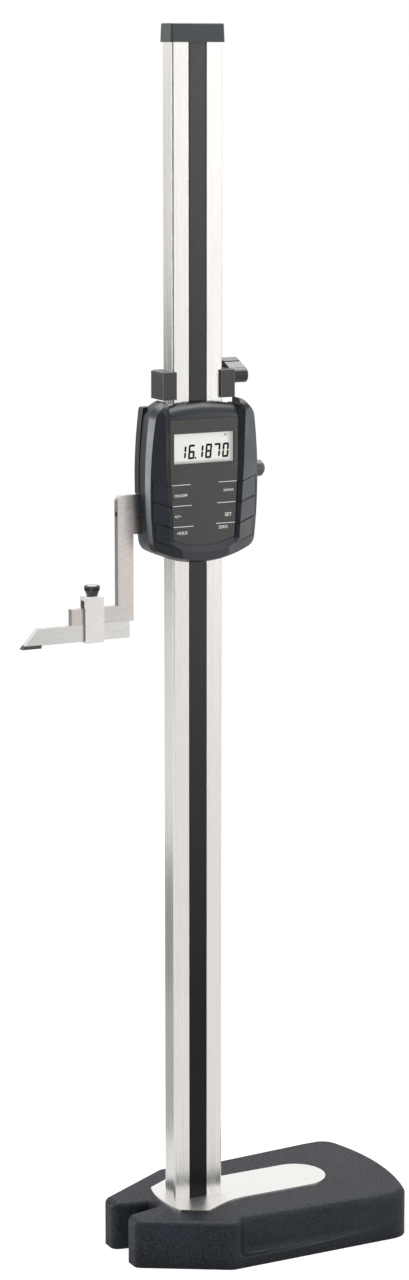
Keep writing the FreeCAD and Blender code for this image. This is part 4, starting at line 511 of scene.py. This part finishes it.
for height, side in ((low.z, -1), (high.z, 1)):
    cut = bmesh.ops.bisect_plane(shape, geom=shape.verts[:] + shape.edges[:] + shape.faces[:],
                                 plane_co=(0, 0, height), plane_no=(0, 0, side), clear_outer=True)
    rim = [item for item in cut["geom_cut"] if isinstance(item, bmesh.types.BMEdge)]
    bmesh.ops.holes_fill(shape, edges=rim)
rolled = machined("rolled_thread_steel", "#8e8f90", "#b3b4b5", 0.28, (0.5, 0.5, 0.5))
finished("feed_screw_threaded", shape, "head", "ground_steel", [rolled], "feed_screw")

# Feed nut: a thin ring on the feed screw, turned by the thumb, with a straight knurl between two
# bevelled rims.
BORE = 2.05 * MM  # radius of the nut's bore
low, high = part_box("feed_nut")
radius, tall = (high.x - low.x) / 2, high.z - low.z
shape = bmesh.new()
face = rod(shape, radius - RIM, 0.3 * MM, 2 * TEETH)
face = grow(shape, face, radius / (radius - RIM), 0.4 * MM)
for vert in list(face.verts)[::2]:
    vert.co.xy *= 1 - TOOTH / radius
face = grow(shape, face, 1, tall - 1.4 * MM)
face = grow(shape, face, 1 - RIM / radius, 0.4 * MM)
face = grow(shape, face, 1, 0.3 * MM)
floor = min(shape.faces, key=lambda item: item.calc_center_median().z)
rims = []
for end in (floor, face):
    inner = grow(shape, end, BORE / (radius - RIM), 0)
    rims += inner.edges[:]
    bmesh.ops.delete(shape, geom=[inner], context="FACES_ONLY")
bmesh.ops.bridge_loops(shape, edges=rims)
bmesh.ops.translate(shape, vec=((low.x + high.x) / 2, (low.y + high.y) / 2, low.z), verts=shape.verts)
finished("feed_nut_knurled", shape, "nut", "knurled_steel", [knurled], "feed_nut")

# Clamp lever: glossy near-black plastic, moulded round a steel stud, with a finger tab that is
# polished by use.
dress(moulded("lever_plastic", "#1b1b1c", "#262627", 0.2, 0.5, 0.004), "clamp_lever")


# Studio: a pale sweep of floor under soft light from all round. Dark and bright cards stand where
# the faces of the object mirror them; the cards are seen in reflections only.
def stage_piece(name, size, place, towards, made):
    """A flat piece of the studio, turned to face a point."""
    mesh = bpy.data.meshes.new(name)
    shape = bmesh.new()
    bmesh.ops.create_grid(shape, x_segments=1, y_segments=1, size=0.5)
    bmesh.ops.scale(shape, vec=(size[0], size[1], 1), verts=shape.verts)
    aim = (Vector(towards) - Vector(place)).to_track_quat("Z", "Y").to_matrix().to_4x4()
    bmesh.ops.transform(shape, matrix=Matrix.Translation(place) @ aim, verts=shape.verts)
    shape.to_mesh(mesh)
    shape.free()
    mesh.materials.append(made)
    made = bpy.data.objects.new(name, mesh)
    bpy.context.scene.collection.objects.link(made)
    return made


sweep, tree = new_material("floor_paint")
path = add(tree, "LightPath")
lift = add(tree, "MapRange", {"Value": path.outputs["Is Camera Ray"], "To Min": 0.05, "To Max": 0.46})
dull = add(tree, "BsdfDiffuse", {"Color": colour("#f4f4f4")})
glow = add(tree, "Emission", {"Color": colour("#ffffff"), "Strength": lift})
both = add(tree, "AddShader", {0: dull, 1: glow})
add(tree, "OutputMaterial", {"Surface": both})
stage_piece("floor", (24, 24), (0, 0, 0), (0, 0, 1), sweep)

CARDS = [  # name, width and height, place, the point it faces, and how bright it is
    ("flag", (3.8, 1.5), (-1.6, -1.35, 0.75), (-1.6, 0, 0.75), 0.01),
    ("grey_card", (0.9, 0.28), (-0.70, 1.35, 0.34), (0, 0, 0.34), 0.06),
    ("low_grey_card", (0.5, 0.12), (-0.24, 0.44, 0.075), (0, 0, 0.075), 0.25),
    ("floor_card", (0.34, 0.3), (-0.19, 0.33, 0.003), (-0.19, 0.33, 1), 0.42),
    ("cap_card", (0.9, 0.3), (-0.70, 1.35, 0.63), (0, 0, 0.63), 0.66),
    ("overhead_card", (2.2, 2.2), (0.2, 0.4, 2.3), (0.2, 0.4, 0), 6.0),
    ("left_card", (0.9, 1.0), (-1.7, 0.96, 0.46), (0, 0, 0.46), 9.0),
    ("right_card", (0.7, 1.1), (1.4, -1.4, 0.56), (0, 0, 0.56), 5.5),
]
for name, size, place, towards, bright in CARDS:
    cloth, tree = new_material(name)
    glow = add(tree, "Emission", {"Color": colour("#ffffff"), "Strength": bright})
    add(tree, "OutputMaterial", {"Surface": glow})
    card = stage_piece(name, size, place, towards, cloth)
    card.visible_camera = card.visible_diffuse = card.visible_shadow = False

world = bpy.data.worlds.new("studio")
bpy.context.scene.world = world
world.use_nodes = True
tree = world.node_tree
tree.nodes.clear()
path = add(tree, "LightPath")
seen = add(tree, "Math", {0: path.outputs["Is Camera Ray"], 1: path.outputs["Is Glossy Ray"]},
           operation="ADD")
seen = add(tree, "Math", {0: seen, 1: path.outputs["Is Transmission Ray"]}, operation="ADD",
           use_clamp=True)
soft = add(tree, "Background", {"Color": colour("#ffffff"), "Strength": 0.6})
white = add(tree, "Background", {"Color": colour("#ffffff"), "Strength": 1.0})
sky = add(tree, "MixShader", {0: seen, 1: soft, 2: white})
add(tree, "OutputWorld", {"Surface": sky})

LAMPS = [  # name, place, size and power
    ("overhead_lamp", (-0.3, -0.2, 2.3), 1.0, 12),
    ("front_lamp", (-1.6, -2.2, 1.3), 1.0, 26),
]
for name, place, size, power in LAMPS:
    light = bpy.data.lights.new(name, "AREA")
    light.size = size
    light.energy = power
    lamp = bpy.data.objects.new(name, light)
    bpy.context.scene.collection.objects.link(lamp)
    lamp.location = place
    lamp.visible_camera = lamp.visible_glossy = False
    lamp.rotation_euler = (Vector((0, 0, 0.45)) - lamp.location).to_track_quat("-Z", "Y").to_euler()

# Camera: to the left of the display side and a little above, as the photograph was taken.
turn, height = math.radians(-26.763), math.radians(10.877)
back = Vector((math.sin(turn) * math.cos(height), -math.cos(turn) * math.cos(height), math.sin(height)))
camera_data = bpy.data.cameras.new("camera")
camera_data.sensor_width = 36
camera_data.lens = 86.51
camera = bpy.data.objects.new("camera", camera_data)
bpy.context.scene.collection.objects.link(camera)
camera.location = (-0.8638, -1.7292, 0.7784)
camera.rotation_mode = "QUATERNION"
camera.rotation_quaternion = (-back).to_track_quat("-Z", "Y")
bpy.context.scene.camera = camera
bpy.context.scene.view_settings.view_transform = "Standard"
